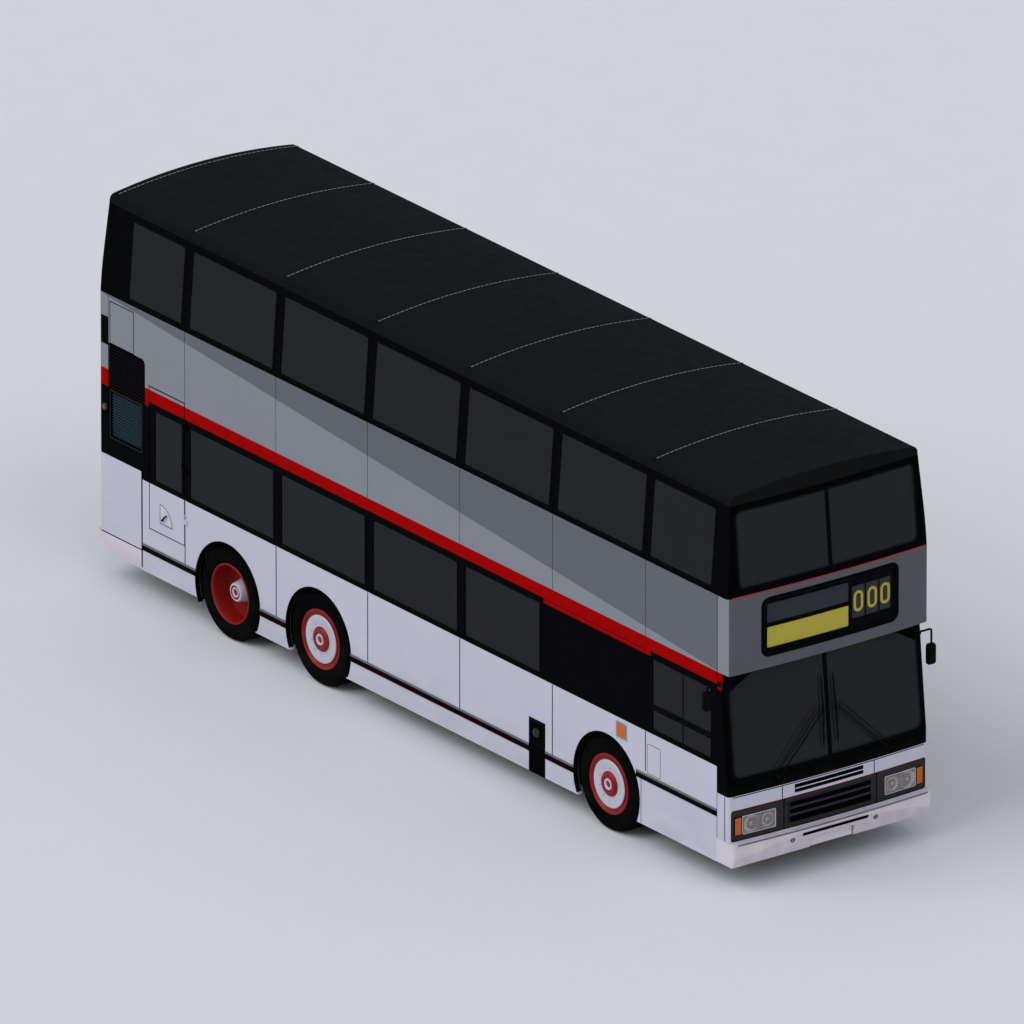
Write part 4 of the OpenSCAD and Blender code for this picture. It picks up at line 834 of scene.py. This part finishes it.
for name, axle, s in WHEELS:
    twin = name.startswith("rear")
    rim, mats, nut_r, nut_y, valve_y = (TWIN_RIM, TWIN_MATS, 0.168, -0.214, -0.205) if twin else (
        SINGLE_RIM, SINGLE_MATS, 0.176, -0.019, -0.031)
    centre, out = Vector((axle, s * OUT, TYRE_R)), (0, s, 0)
    p = Piece()
    p.lathe(centre, out, rim, 64, m=mats)
    for t in [2 * pi * (k + 0.5) / 10 for k in range(10)]:
        nut = centre + Vector((nut_r * cos(t), s * nut_y, nut_r * sin(t)))
        p.lathe(nut, out, NUT, 6, m=0 if twin else 1)
    valve = centre + Vector((0.272, s * valve_y, 0.02))
    p.tube([valve, valve + Vector((0.004, s * 0.024, 0))], 0.004, 8, m=2)
    rim = p.make(f"{name}_rim", [WHEEL_RED, WHEEL_SILVER, STEEL], name)
    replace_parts(rim, name.replace("wheel", "rim"))
    p = Piece()
    for k in range(2 if twin else 1):
        inward = Vector((0, s * k * (TYRE_W + TWIN_GAP), 0))
        p.lathe(centre - inward, out, TREAD, 144, wave=tread_wave)
    tyre = p.make(f"{name}_tyre", [TYRE], name, smooth=0.5)
    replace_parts(tyre, name.replace("wheel", "tyre"))

# Rubber lips round the wheel arches
p = Piece()
for p.at in (RIGHT, LEFT):
    for a in AXLES:
        lim = acos((TYRE_R - 0.262) / 0.541)
        angles = [lim + (2 * pi - 2 * lim) * k / 40 for k in range(41)]
        p.strip([(a + 0.547 * sin(t), TYRE_R - 0.547 * cos(t)) for t in angles], 0.02, -0.045, 0.005)
p.make("arch_lips", [RUBBER])

# ---------------------------------------------------------------- offside fittings

p = Piece(RIGHT)
# Upper grille, lower framed grille and corner grille
p.grille(REAR + 0.166, REAR + 0.768, 2.137, 2.595, -0.012, -0.0005, 0.038, 0.012)
edge = ((0.162, 2.13), (0.774, 2.13), (0.774, 2.56), (0.74, 2.602), (0.162, 2.602))
p.strip([(REAR + u, v) for u, v in edge], 0.016, -0.002, 0.004, closed=True)
p.grille(REAR + 0.214, REAR + 0.712, 1.606, 2.084, -0.024, -0.004, 0.03, 0.009, m=2)
p.hoop((REAR + 0.198, REAR + 0.728, 1.592, 2.099, 0.008, 3), 0.022, -0.012, 0.006)
p.hoop((REAR + 0.192, REAR + 0.734, 1.586, 2.105, 0.008, 3), 0.006, -0.004, 0.0075, m=2)
p.block(REAR + 0.034, REAR + 0.158, 2.578, 2.884, -0.002, 0.002, 0.001)
for v in [2.596 + 0.27 * k / 8 for k in range(9)]:
    p.block(REAR + 0.038, REAR + 0.154, v - 0.006, v + 0.006, 0, 0.009, 0.003, m=1)
# Round side lamp
lamp = X(10.49), 1.895
p.knob(*lamp, cap((0, 24), (20, 22), (36, 16), (42, 8)), 32, m=[3, 4, 4, 4, 4])
p.knob(*lamp, [(0.042, 0), (0.058, 0), (0.06, 0.005), (0.054, 0.011), (0.044, 0.012), (0.042, 0.008)], 32)
# Battery or filler panel with one round cap
p.block(X(3.318), X(3.047), 0.236, 0.824, -0.001, 0.006, 0.003)
p.hoop((X(3.292), X(3.073), 0.56, 0.8, 0.012, 4), 0.012, 0.004, 0.01, m=1)
filler = X(3.182)
p.knob(filler, 0.688, cap((0, 22), (30, 21), (46, 16), (50, 9)), 36, m=4, out=0.005)
p.block(filler - 0.007, filler + 0.007, 0.652, 0.724, 0.02, 0.032, 0.003, m=4)
# Amber side marker in a pale frame
for p.at in (RIGHT, LEFT):
    c0, c1 = X(1.856), X(1.691)
    p.hoop((c0, c1, 1.085, 1.25, 0.01, 4), 0.014, -0.001, 0.01, m=5)
    rib = (c1 - c0 - 0.018) / 7
    for a in [c0 + 0.009 + rib * k for k in range(7)]:
        p.block(a, a + rib - 0.0015, 1.094, 1.241, -0.001, 0.013, 0.004, m=6)
p.make("side_fittings", [SEAM, PLASTIC, TEAL, RED_LENS, IRON_CAP, PALE, AMBER])

# Emergency door: edge rubber, window rubber and the handle in its quarter-round recess
p = Piece(RIGHT)
p.hoop((X(9.741), X(9.144), 0.8, 2.351, 0.006, 2), 0.009, -0.004, 0.002)
p.hoop((X(9.653), X(9.179), LOW_SILL - 0.001, LOW_TOP + 0.001, 0.026, 4), 0.022, -0.007, 0.004, m=3)
hx, hz, hr = X(9.56), 0.912, 0.205
ARC = [pi / 2 * k / 12 for k in range(13)]
p.strip([(hx, hz)] + [(hx + hr * cos(a), hz + hr * sin(a)) for a in ARC], 0.007, -0.001, 0.0025, closed=True)
recess = [(hx + 0.006, hz + 0.006)]
recess += [(hx + (hr - 0.008) * cos(a), hz + 0.004 + (hr - 0.01) * sin(a)) for a in ARC[1:]]
p.plate(recess, -0.001, 0.0008, 0.0004, m=1)
lever = ((0.045, 0.042, 0.001), (0.05, 0.047, 0.022), (0.118, 0.112, 0.024), (0.124, 0.118, 0.01))
p.tube(bend([RIGHT(hx + u, hz + v, h) for u, v, h in lever], 0.012), 0.009, 12, m=3)
p.knob(hx + 0.045, hz + 0.042, cap((0, 8), (16, 7), (20, 2)), 20, m=2)
p.make("emergency_door_trim", [SEAM, WHITE_PAINT, STEEL, RUBBER], "emergency_door")

# Locker flaps along the nearside skirt
p = Piece(LEFT)
for a, b in ((4.6, 3.1), (6.2, 4.72)):
    p.hoop((X(a), X(b), 0.56, 1.24, 0.02, 4), 0.008, -0.001, 0.0015)
    for u in (X(a) + (a - b) * 0.2, X(a) + (a - b) * 0.8):
        p.knob(u, 0.62, cap((0, 6), (14, 5), (19, 1)), 18, m=1)
        p.block(u - 0.05, u + 0.05, 1.236, 1.262, -0.001, 0.007, 0.003, m=2)
p.make("locker_flaps", [SEAM, STEEL, WHITE_PAINT])

# Ribbed mud walls ahead of, behind and inboard of each wheel, below its wheel box
p = Piece()
# axle, its box's half length, its inner wall, and the gaps ahead of and behind the axle
WELLS = ((AXLES[0], 0.65, 0.61, 0.2, 0.34), (AXLES[1], 0.56, 0.9, 0.17, 0.17),
         (AXLES[2], 0.56, 0.61, 0.17, 0.17))
for s in (-1, 1):
    for axle, half, y_in, ahead, behind in WELLS:
        for e, gap in ((1, ahead), (-1, behind)):
            def across(u, v, out=0, x=axle + e * (half - 0.006), e=e, s=s):
                return Vector((x - e * out, s * u, v))

            def along(u, v, out=0, y=y_in + 0.006, s=s):
                return Vector((u, s * (y + out), v))

            u0, u1 = sorted((axle + e * gap, axle + e * (half - 0.01)))
            p.block(y_in + 0.002, 1.196, 0.245, 0.676, -0.004, 0, 0.0015, step=0.1, at=across)
            p.block(u0, u1, 0.25, 0.676, -0.004, 0, 0.0015, step=0.1, at=along)
            for v in [0.275 + 0.074 * k for k in range(6)]:
                p.block(y_in + 0.01, 1.185, v - 0.01, v + 0.01, -0.002, 0.005, 0.002, at=across)
                p.block(u0 + 0.01, u1 - 0.01, v - 0.01, v + 0.01, -0.002, 0.005, 0.002, at=along)
p.make("wheel_well_walls", [PLASTIC])

# ---------------------------------------------------------------- entrance door

LEAF_Y, LEAF_T = 1.24, 0.035


def leaf_at(u, v, out=0.0):
    return Vector((u, LEAF_Y + out, v))


def leaf_in(u, v, out=0.0):
    return Vector((u, LEAF_Y - LEAF_T - out, v))


for name, x0, x1, s in (("front", 4.5013, 5.0335, -1), ("rear", 3.9515, 4.4957, 1)):
    p = Piece()
    for p.at in (leaf_at, leaf_in):
        p.hoop((x0 + 0.071, x1 - 0.071, 0.551, 2.047, 0.026, 4), 0.024, -0.014, 0.004)
    p.at = leaf_at
    p.hoop((x0 + 0.008, x1 - 0.008, 0.37, 2.168, 0.006, 2), 0.01, -0.002, 0.0015)
    edge, grab = (x0, x1 - 0.035) if s > 0 else (x1, x0 + 0.035)
    p.block(*sorted((edge + s * 0.002, edge + s * 0.02)), 0.372, 2.166, -0.034, 0.006, 0.005)
    p.hoop((x0 + 0.075, x1 - 0.075, 0.395, 0.515, 0.012, 3), 0.006, -0.001, 0.003, m=1)
    bar = [leaf_in(grab, v, h) for v, h in ((0.92, 0), (0.92, 0.055), (1.56, 0.055), (1.56, 0))]
    p.tube(bend(bar, 0.03), 0.014, 12, m=2)
    for v in (0.92, 1.56):
        p.knob(grab, v, cap((0, 5), (22, 5), (26, 1)), 16, m=2, at=leaf_in)
    p.make(f"entrance_{name}_leaf_trim", [RUBBER, SEAM, POLE_YELLOW], f"door_{name}_leaf")

p = Piece(LEFT)
p.strip([(3.935, 0.33), (3.935, 2.205), (5.062, 2.205), (5.062, 0.33)], 0.014, -0.003, 0.002)
p.block(3.95, 5.05, 2.222, 2.246, -0.001, 0.01, 0.004)
for y in (1.16, 1.1, 1.04):
    p.block(3.98, 5.03, y - 0.004, y + 0.004, 0.3095, 0.3125, 0.001, m=1, at=flat)
p.knob(3.86, 1.62, cap((0, 9), (18, 8), (24, 2)), 20, m=2)
p.make("entrance_surround", [RUBBER, STEEL, STEEL])

# ---------------------------------------------------------------- rear end

p = Piece(rear_at)
# Seams of the rear panel and the waist moulding
p.line(-1.2, WAIST, 1.2, WAIST, 0.014, 0.003, step=0.15, m=1)
for v in (2.318, 1.294):
    for u0, u1 in ((-1.2, -1.018), (1.018, 1.2)):
        p.line(u0, v, u1, v, 0.006, step=0.09, m=1)
p.line(-1.2, 0.524, 1.2, 0.524, 0.012, 0.002, step=0.15, m=1)
for s in (-1, 1):
    p.line(s * 1.195, 0.53, s * 1.195, WAIST, 0.008, m=1)
# Lamp clusters: brake and tail, indicator, reversing and fog, each a moulded lens in a black tray
for s in (-1, 1):
    u0, u1 = sorted((s * 1.04, s * 1.168))
    p.block(u0, u1, 0.655, 1.245, -0.002, 0.01, 0.005, m=2)
    for v0, lens in ((0.668, 3), (0.811, 4), (0.954, 3), (1.097, 5)):
        p.block(u0 + 0.012, u1 - 0.012, v0, v0 + 0.134, 0.006, 0.026, 0.01, m=lens)
        for v in [v0 + 0.021 + 0.0225 * k for k in range(5)]:
            p.block(u0 + 0.024, u1 - 0.024, v, v + 0.004, 0.0245, 0.0275, 0.001, m=lens)
# Round reflectors, upper marker lamps and high brake lamps
for s in (-1, 1):
    p.knob(s * 1.105, 0.592, mm((0, 12), (26, 10), (34, 8), (38, 0), (0, 0)), 28, m=3)
    p.block(s * 1.05 - 0.05, s * 1.05 + 0.05, 4.03, 4.058, -0.004, 0.014, 0.006, m=3)
    p.block(s * 0.99 - 0.11, s * 0.99 + 0.11, 3.035, 3.085, -0.003, 0.018, 0.007, m=3)
# Blank destination box, and vent slats over the lid
p.block(-0.3, 0.3, 2.56, 2.92, -0.004, 0.008, 0.006, m=2, step=0.1)
p.block(-0.27, 0.27, 2.59, 2.89, 0.004, 0.01, 0.002, m=6, step=0.1)
for v in [2.372 + 0.02 * k for k in range(7)]:
    p.block(-0.92, 0.92, v, v + 0.01, -0.002, 0.01, 0.004, m=2, step=0.115)
p.make("rear_fittings", [RUBBER, SEAM, PLASTIC, RED_LENS, AMBER, LENS_WHITE, SLATE])

p = Piece(rear_at)
p.hoop((-1.002, 1.002, 0.542, 1.792, 0.02, 4, 0.15), 0.01, -0.002, 0.0015)
# Louvre bank: a recess of slanted slats behind a frame
p.hoop((-0.8, 0.8, 1.02, 1.64, 0.02, 4, 0.12), 0.02, -0.002, 0.008, m=1)
SLAT = ((0, 0.0145), (0.003, 0.016), (0.034, 0.0015), (0.03, -0.0005), (0, 0.0005))
for v in [1.045 + 0.0425 * k for k in range(14)]:
    slat = [rear_at(1.57 * i / 12 - 0.785, v + up, h) for i in range(13) for up, h in SLAT]
    p.add(slat, loft_faces(len(SLAT), 13), 1)
# Blank number plate with its lamp, two budget locks and a pull
p.block(-0.262, 0.262, 0.69, 0.808, -0.002, 0.008, 0.003, m=1, step=0.13)
p.block(-0.255, 0.255, 0.696, 0.802, 0.004, 0.01, 0.002, m=2, step=0.13)
p.block(-0.1, 0.1, 0.822, 0.85, -0.002, 0.024, 0.007, m=1)
for s in (-1, 1):
    p.knob(s * 0.62, 0.64, mm((0, 10), (16, 10), (24, 4), (26, 0), (0, 0)), 24, m=3)
    p.block(s * 0.62 - 0.0035, s * 0.62 + 0.0035, 0.626, 0.654, 0.008, 0.013, 0.001, m=3)
pull = [rear_at(u, 0.61, h) for u, h in ((-0.12, 0), (-0.12, 0.03), (0.12, 0.03), (0.12, 0))]
p.tube(bend(pull, 0.015), 0.008, 10, m=3)
p.make("engine_lid_trim", [SEAM, PLASTIC, PLATE_WHITE, STEEL], "engine_lid")

p = Piece()
p.line(-1.2, 0.506, 1.2, 0.506, 0.006, 0.001, step=0.15, at=lambda u, v, h: rear_at(u, v, h + 0.041))
for p.at in (RIGHT, LEFT):
    p.line(REAR + 0.02, 0.515, TAIL_EDGE - 0.004, 0.515, 0.007, 0.0015)
p.make("rear_bumper_trim", [SEAM])

# ---------------------------------------------------------------- seats

PULL_IN = 0.006
CHANNEL_DEPTH, CHANNEL_W = 0.007, 0.011


def pillow(size, crown, n):
    """A crowned closed pad about the origin. Its sides pull in between the corners; it is flat below."""
    lx, ly, lz = [q / 2 for q in size]
    bm = bmesh.new()
    nx, ny = n
    grid = {}
    for top in (0, 1):
        for i in range(nx + 1):
            for j in range(ny + 1):
                if top == 0 and (i in (0, nx) or j in (0, ny)):
                    continue
                u, v = 2 * i / nx - 1, 2 * j / ny - 1
                x = u * lx - copysign(PULL_IN, u) * (1 - v * v) * (abs(u) > 0.99)
                y = v * ly - copysign(PULL_IN, v) * (1 - u * u) * (abs(v) > 0.99)
                hump = (1 - u ** 4) * (1 - v ** 4)
                z = (lz * 0.35 + crown * hump) if top else -lz * (0.4 + 0.6 * min(1, hump * 3))
                grid[top, i, j] = bm.verts.new((x, y, z))
    for i in range(nx):
        for j in range(ny):
            quad = [(i, j), (i + 1, j), (i + 1, j + 1), (i, j + 1)]
            bm.faces.new([grid[1, a, b] for a, b in quad])
            bm.faces.new([grid.get((0, a, b)) or grid[1, a, b] for a, b in reversed(quad)])
    mesh = bpy.data.meshes.new("pad")
    bm.to_mesh(mesh)
    bm.free()
    return mesh


def upholster(size, crown, cap, seams, target, n):
    """Blows a crowned pad up as cloth, presses in its sewn channels, thins it to target triangles."""
    obj = bpy.data.objects.new("pad", pillow(size, crown, n))
    bpy.context.scene.collection.objects.link(obj)
    bpy.context.view_layer.objects.active = obj

    def apply(kind, **values):
        mod = obj.modifiers.new("step", kind)
        for k, v in values.items():
            setattr(mod, k, v)
        with bpy.context.temp_override(object=obj, active_object=obj, selected_objects=[obj]):
            bpy.ops.object.modifier_apply(modifier=mod.name)

    apply("SUBSURF", levels=1, render_levels=1)
    apply("REMESH", mode="VOXEL", voxel_size=0.008)
    start = [v.co.copy() for v in obj.data.vertices]
    cloth = obj.modifiers.new("swell", "CLOTH")
    cloth.settings.use_pressure = True
    cloth.settings.uniform_pressure_force = 4
    cloth.settings.effector_weights.gravity = 0
    cloth.settings.quality = 4
    cloth.settings.tension_stiffness = cloth.settings.compression_stiffness = 25
    cloth.point_cache.frame_start, cloth.point_cache.frame_end = 1, 20
    for f in range(1, 21):
        bpy.context.scene.frame_set(f)
    swollen = obj.evaluated_get(bpy.context.evaluated_depsgraph_get()).to_mesh()
    moved = [v.co.copy() for v in swollen.vertices]
    obj.modifiers.remove(cloth)
    bpy.context.scene.frame_set(1)
    for v, a, b in zip(obj.data.vertices, start, moved):
        d = b - a
        v.co = a + d * min(1, cap / max(d.length, 1e-9))
    for v in obj.data.vertices:
        if v.co.z > 0:
            v.co.z -= CHANNEL_DEPTH * sum(exp(-((v.co[a] - at) / CHANNEL_W) ** 2) for a, at in seams)
    apply("DECIMATE", ratio=min(1, target / max(1, 2 * len(obj.data.polygons))))
    mesh = obj.data
    bpy.data.objects.remove(obj)
    return mesh


def pads(name, mesh, places):
    """Puts one cushion object at each placing matrix."""
    for k, m in enumerate(places):
        copy = mesh.copy()
        copy.transform(m)
        obj = bpy.data.objects.new(f"{name}_{k + 1:02d}", copy)
        bpy.context.scene.collection.objects.link(obj)
        copy.materials.clear()
        copy.materials.append(CLOTH)
        copy.polygons.foreach_set("use_smooth", [True] * len(copy.polygons))
        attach(obj, "bus_body")


SEAT_W, SEAT_D, SEAT_PITCH, AISLE = 0.86, 0.43, 0.75, 0.3
UPRIGHT = Matrix(((0, 0, 1, 0), (0, -1, 0, 0), (1, 0, 0, 0), (0, 0, 0, 1)))


def leaning(x, y, z, degrees):
    return Matrix.Translation((x, y, z)) @ Matrix.Rotation(radians(-degrees), 4, "Y")


STEP_X, BULKHEAD_X = -0.9795, -4.5495
STAIR, GOING, RISE = (2.1505, 3.8305), 0.21, 0.22
LOW_FLOOR, HIGH_FLOOR, UP_FLOOR = 0.6803, 0.8003, 2.4403


rows = []
for i in range(8):
    x = X(4 + i * SEAT_PITCH)
    for s in (-1, 1):
        if x + SEAT_D < STEP_X - 0.02 and x > BULKHEAD_X + 0.7:
            rows.append(("lower", x, HIGH_FLOOR, s))
        if x - 0.12 > STEP_X:
            rows.append(("lower", x, LOW_FLOOR, s))
for i in range(12):
    x = X(1.35 + i * SEAT_PITCH)
    if x > -5.1615 + 0.3:
        rows.append(("upper", x, UP_FLOOR, 1))
        if x > STAIR[1] + 0.1 or x + SEAT_D < STAIR[0] + 0.06:
            rows.append(("upper", x, UP_FLOOR, -1))

cushion = upholster((0.405, 0.835, 0.066), 0.01, 0.01, [(1, 0), (0, -0.11)], 2600, (10, 18))
squab = upholster((0.56, 0.835, 0.044), 0.01, 0.01, [(1, 0), (0, 0.17)], 2600, (12, 18))
for deck in ("lower", "upper"):
    mine = [r[1:] for r in rows if r[0] == deck]
    mid = AISLE + SEAT_W / 2
    pads(f"{deck}_cushion", cushion, [Matrix.Translation((x + 0.218, s * mid, z + 0.405))
                                      for x, z, s in mine])
    pads(f"{deck}_squab", squab, [leaning(x + 0.03, s * mid, z + 0.372, 8)
                                  @ Matrix.Translation((-0.028, 0, 0.405)) @ UPRIGHT for x, z, s in mine])
    p = Piece(flat)
    y0, y1, leg_y = AISLE + 0.012, AISLE + SEAT_W - 0.012, AISLE + 0.055
    for x, z, s in mine:
        foot = leaning(x + 0.03, 0, z + 0.372, 8)

        def shell(u, v, out=0.0):
            return foot @ Vector((-0.062 - out, s * u, v))

        p.block(y0, y1, 0.015, 0.69, 0, 0.008, 0.004, at=shell)
        grab = ((y0 + 0.02, 0.52), (y0 + 0.02, 0.708, -0.02), (y1 - 0.02, 0.708, -0.02), (y1 - 0.02, 0.52))
        p.tube(bend([shell(*q) for q in grab], 0.05), 0.014, 10, m=1)
        p.block(x + 0.012, x + 0.42, *sorted((s * y0, s * y1)), z + 0.34, z + 0.353, 0.004)
        for leg in (x + 0.06, x + 0.3):
            p.tube([(leg, s * leg_y, z + 0.0005), (leg, s * leg_y, z + 0.345)], 0.014, 10, m=2)
            p.lathe((leg, s * leg_y, z), (0, 0, 1), cap((0, 6), (30, 6), (34, 2)), 14, m=2)
        for y, x0, x1, h, r in ((leg_y, 0.06, 0.3, 0.12, 0.011), (y1 - 0.01, 0.03, 0.4, 0.332, 0.014)):
            p.tube([(x + x0, s * y, z + h), (x + x1, s * y, z + h)], r, 8, m=2)
    obj = p.make(f"{deck}_seat_frames", [PLASTIC, POLE_YELLOW, STEEL])
    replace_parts(obj, f"{deck}_seats")

# Driver's seat: sprung base, padded cushion, back and headrest
DX, DY, DZ = X(1.29), -0.64, LOW_FLOOR
p = Piece(flat)
p.block(DX + 0.05, DX + 0.36, DY - 0.13, DY + 0.13, DZ, DZ + 0.03, 0.008)
for k in range(7):
    w, z = 0.15 + (0.012 if k % 2 else 0), DZ + 0.03 + 0.04 * k
    p.block(DX + 0.205 - w, DX + 0.205 + w, DY - 0.75 * w, DY + 0.75 * w, z, z + 0.04, 0.012)
p.block(DX + 0.008, DX + 0.44, DY - 0.225, DY + 0.225, DZ + 0.31, DZ + 0.354, 0.012)
lean = leaning(DX + 0.042, DY, DZ + 0.378, 10)


def seat_back(u, v, out=0.0):
    return lean @ Vector((-0.073 - out, u, v))


p.block(-0.215, 0.215, 0.01, 0.63, 0, 0.007, 0.003, at=seat_back)
for s in (-1, 1):
    p.tube([seat_back(s * 0.06, 0.6, -0.03), seat_back(s * 0.06, 0.7, -0.035)], 0.007, 8, m=1)
obj = p.make("driver_seat_base", [PLASTIC, STEEL])
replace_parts(obj, "driver_seat")
seat = upholster((0.42, 0.445, 0.078), 0.012, 0.012, [(1, -0.13), (1, 0.13)], 2600, (10, 10))
rest = upholster((0.54, 0.44, 0.058), 0.012, 0.012, [(1, -0.13), (1, 0.13)], 2600, (12, 10))
head = upholster((0.17, 0.235, 0.046), 0.01, 0.01, [], 1200, (8, 8))
pads("driver_cushion", seat, [Matrix.Translation((DX + 0.225, DY, DZ + 0.408))])
pads("driver_squab", rest, [lean @ Matrix.Translation((-0.03, 0, 0.33)) @ UPRIGHT])
pads("driver_headrest", head, [lean @ Matrix.Translation((-0.036, 0, 0.728)) @ UPRIGHT])

# ---------------------------------------------------------------- rails, poles and cab

p = Piece()
for deck, x, z, s in rows:
    low = deck == "lower"
    if low and s < 0 and x > STAIR[0] - 0.6:
        continue
    top_z = 2.379 if low else 4.212
    k = round(x / SEAT_PITCH)
    if (k % 2 == 0) == (s > 0):
        xx, yy = x - 0.108, s * (AISLE + 0.045)
        p.tube([(xx, yy, z + 1.055), (xx, yy, top_z)], 0.016, 10)
for z, up, x0, x1 in ((2.3, 0.078, -4.2, 1.6), (4.12, 0.09, -4.6, 1.9)):
    for s in (-1, 1):
        rail = ((x0, s * 0.4, z + up), (x0, s * 0.4, z), (x1, s * 0.4, z), (x1, s * 0.4, z + up))
        p.tube(bend(rail, 0.05), 0.016, 10)
# Rail round the head of the stairs and a handrail down them
rail = ((-0.03, 0, 0), (-0.03, 0.88, 0), (-0.1, 0.88, 1), (-0.1, 0, 1))
p.tube(bend([(STAIR[end] + dx, -0.56, UP_FLOOR + dz) for dx, dz, end in rail], 0.08), 0.017, 10)
p.tube([(STAIR[0] + 0.15, -0.585, 1.55), (STAIR[1] - 0.25, -0.585, 2.32)], 0.016, 10)
for f in (0.15, 0.85):
    xx = STAIR[0] + 0.15 + f * (STAIR[1] - STAIR[0] - 0.4)
    zz = 1.55 + f * 0.77
    p.tube([(xx, -0.585, zz), (xx, -0.63, zz - 0.1), (xx, -0.65, zz - 0.5)], 0.01, 8)
p.make("grab_rails", [POLE_YELLOW])

# Stair nosings and aisle strips
p = Piece(flat)
for k in range(7):
    x, z = STAIR[0] + k * GOING, LOW_FLOOR + (k + 1) * RISE
    if z < UP_FLOOR:
        p.block(x + 0.002, x + 0.032, -1.15, -0.64, z - 0.0005, z + 0.003, 0.001)
for s in (-1, 1):
    p.block(-5, 4.2, s * 0.29 - 0.012, s * 0.29 + 0.012, UP_FLOOR - 0.0005, UP_FLOOR + 0.0025, 0.001, m=1)
p.make("floor_strips", [POLE_YELLOW, STEEL])

# ---------------------------------------------------------------- camera, light and stage

scene = bpy.context.scene
scene.view_settings.view_transform = "Standard"
AIM = Vector((-0.0125, 0.008, 2.1))
BACK = Vector((0.7431, -0.5569, 0.37096)).normalized()
FAR = 430.2
lens = bpy.data.cameras.new("camera")
lens.type, lens.lens, lens.sensor_width = "PERSP", 1500, 36
lens.clip_start, lens.clip_end = 10, 2000
camera = bpy.data.objects.new("camera", lens)
camera.location = AIM + BACK * FAR
camera.rotation_mode = "QUATERNION"
camera.rotation_quaternion = (-BACK).to_track_quat("-Z", "Y")
scene.collection.objects.link(camera)
scene.camera = camera

world = bpy.data.worlds.new("studio")
world.use_nodes = True
world.node_tree.nodes["Background"].inputs[0].default_value = (0.86, 0.9, 1.0, 1)
world.node_tree.nodes["Background"].inputs[1].default_value = 0.55
scene.world = world
for name, aim, power, angle in (("key", (0.25, 1.0, -1.0), 1.5, 50), ("fill", (-1.0, 0.15, -0.8), 0.7, 60)):
    lamp = bpy.data.lights.new(name, "SUN")
    lamp.energy, lamp.angle = power, radians(angle)
    sun = bpy.data.objects.new(name, lamp)
    sun.rotation_mode = "QUATERNION"
    sun.rotation_quaternion = Vector(aim).to_track_quat("-Z", "Y")
    scene.collection.objects.link(sun)

floor_mesh = bpy.data.meshes.new("floor")
floor_mesh.from_pydata([(-60, -60, 0), (60, -60, 0), (60, 60, 0), (-60, 60, 0)], [], [(0, 1, 2, 3)])
floor_mesh.materials.append(plain("studio_floor", (214, 214, 216), (0.8, 0.9), vary=0.01))
floor = bpy.data.objects.new("floor", floor_mesh)
scene.collection.objects.link(floor)
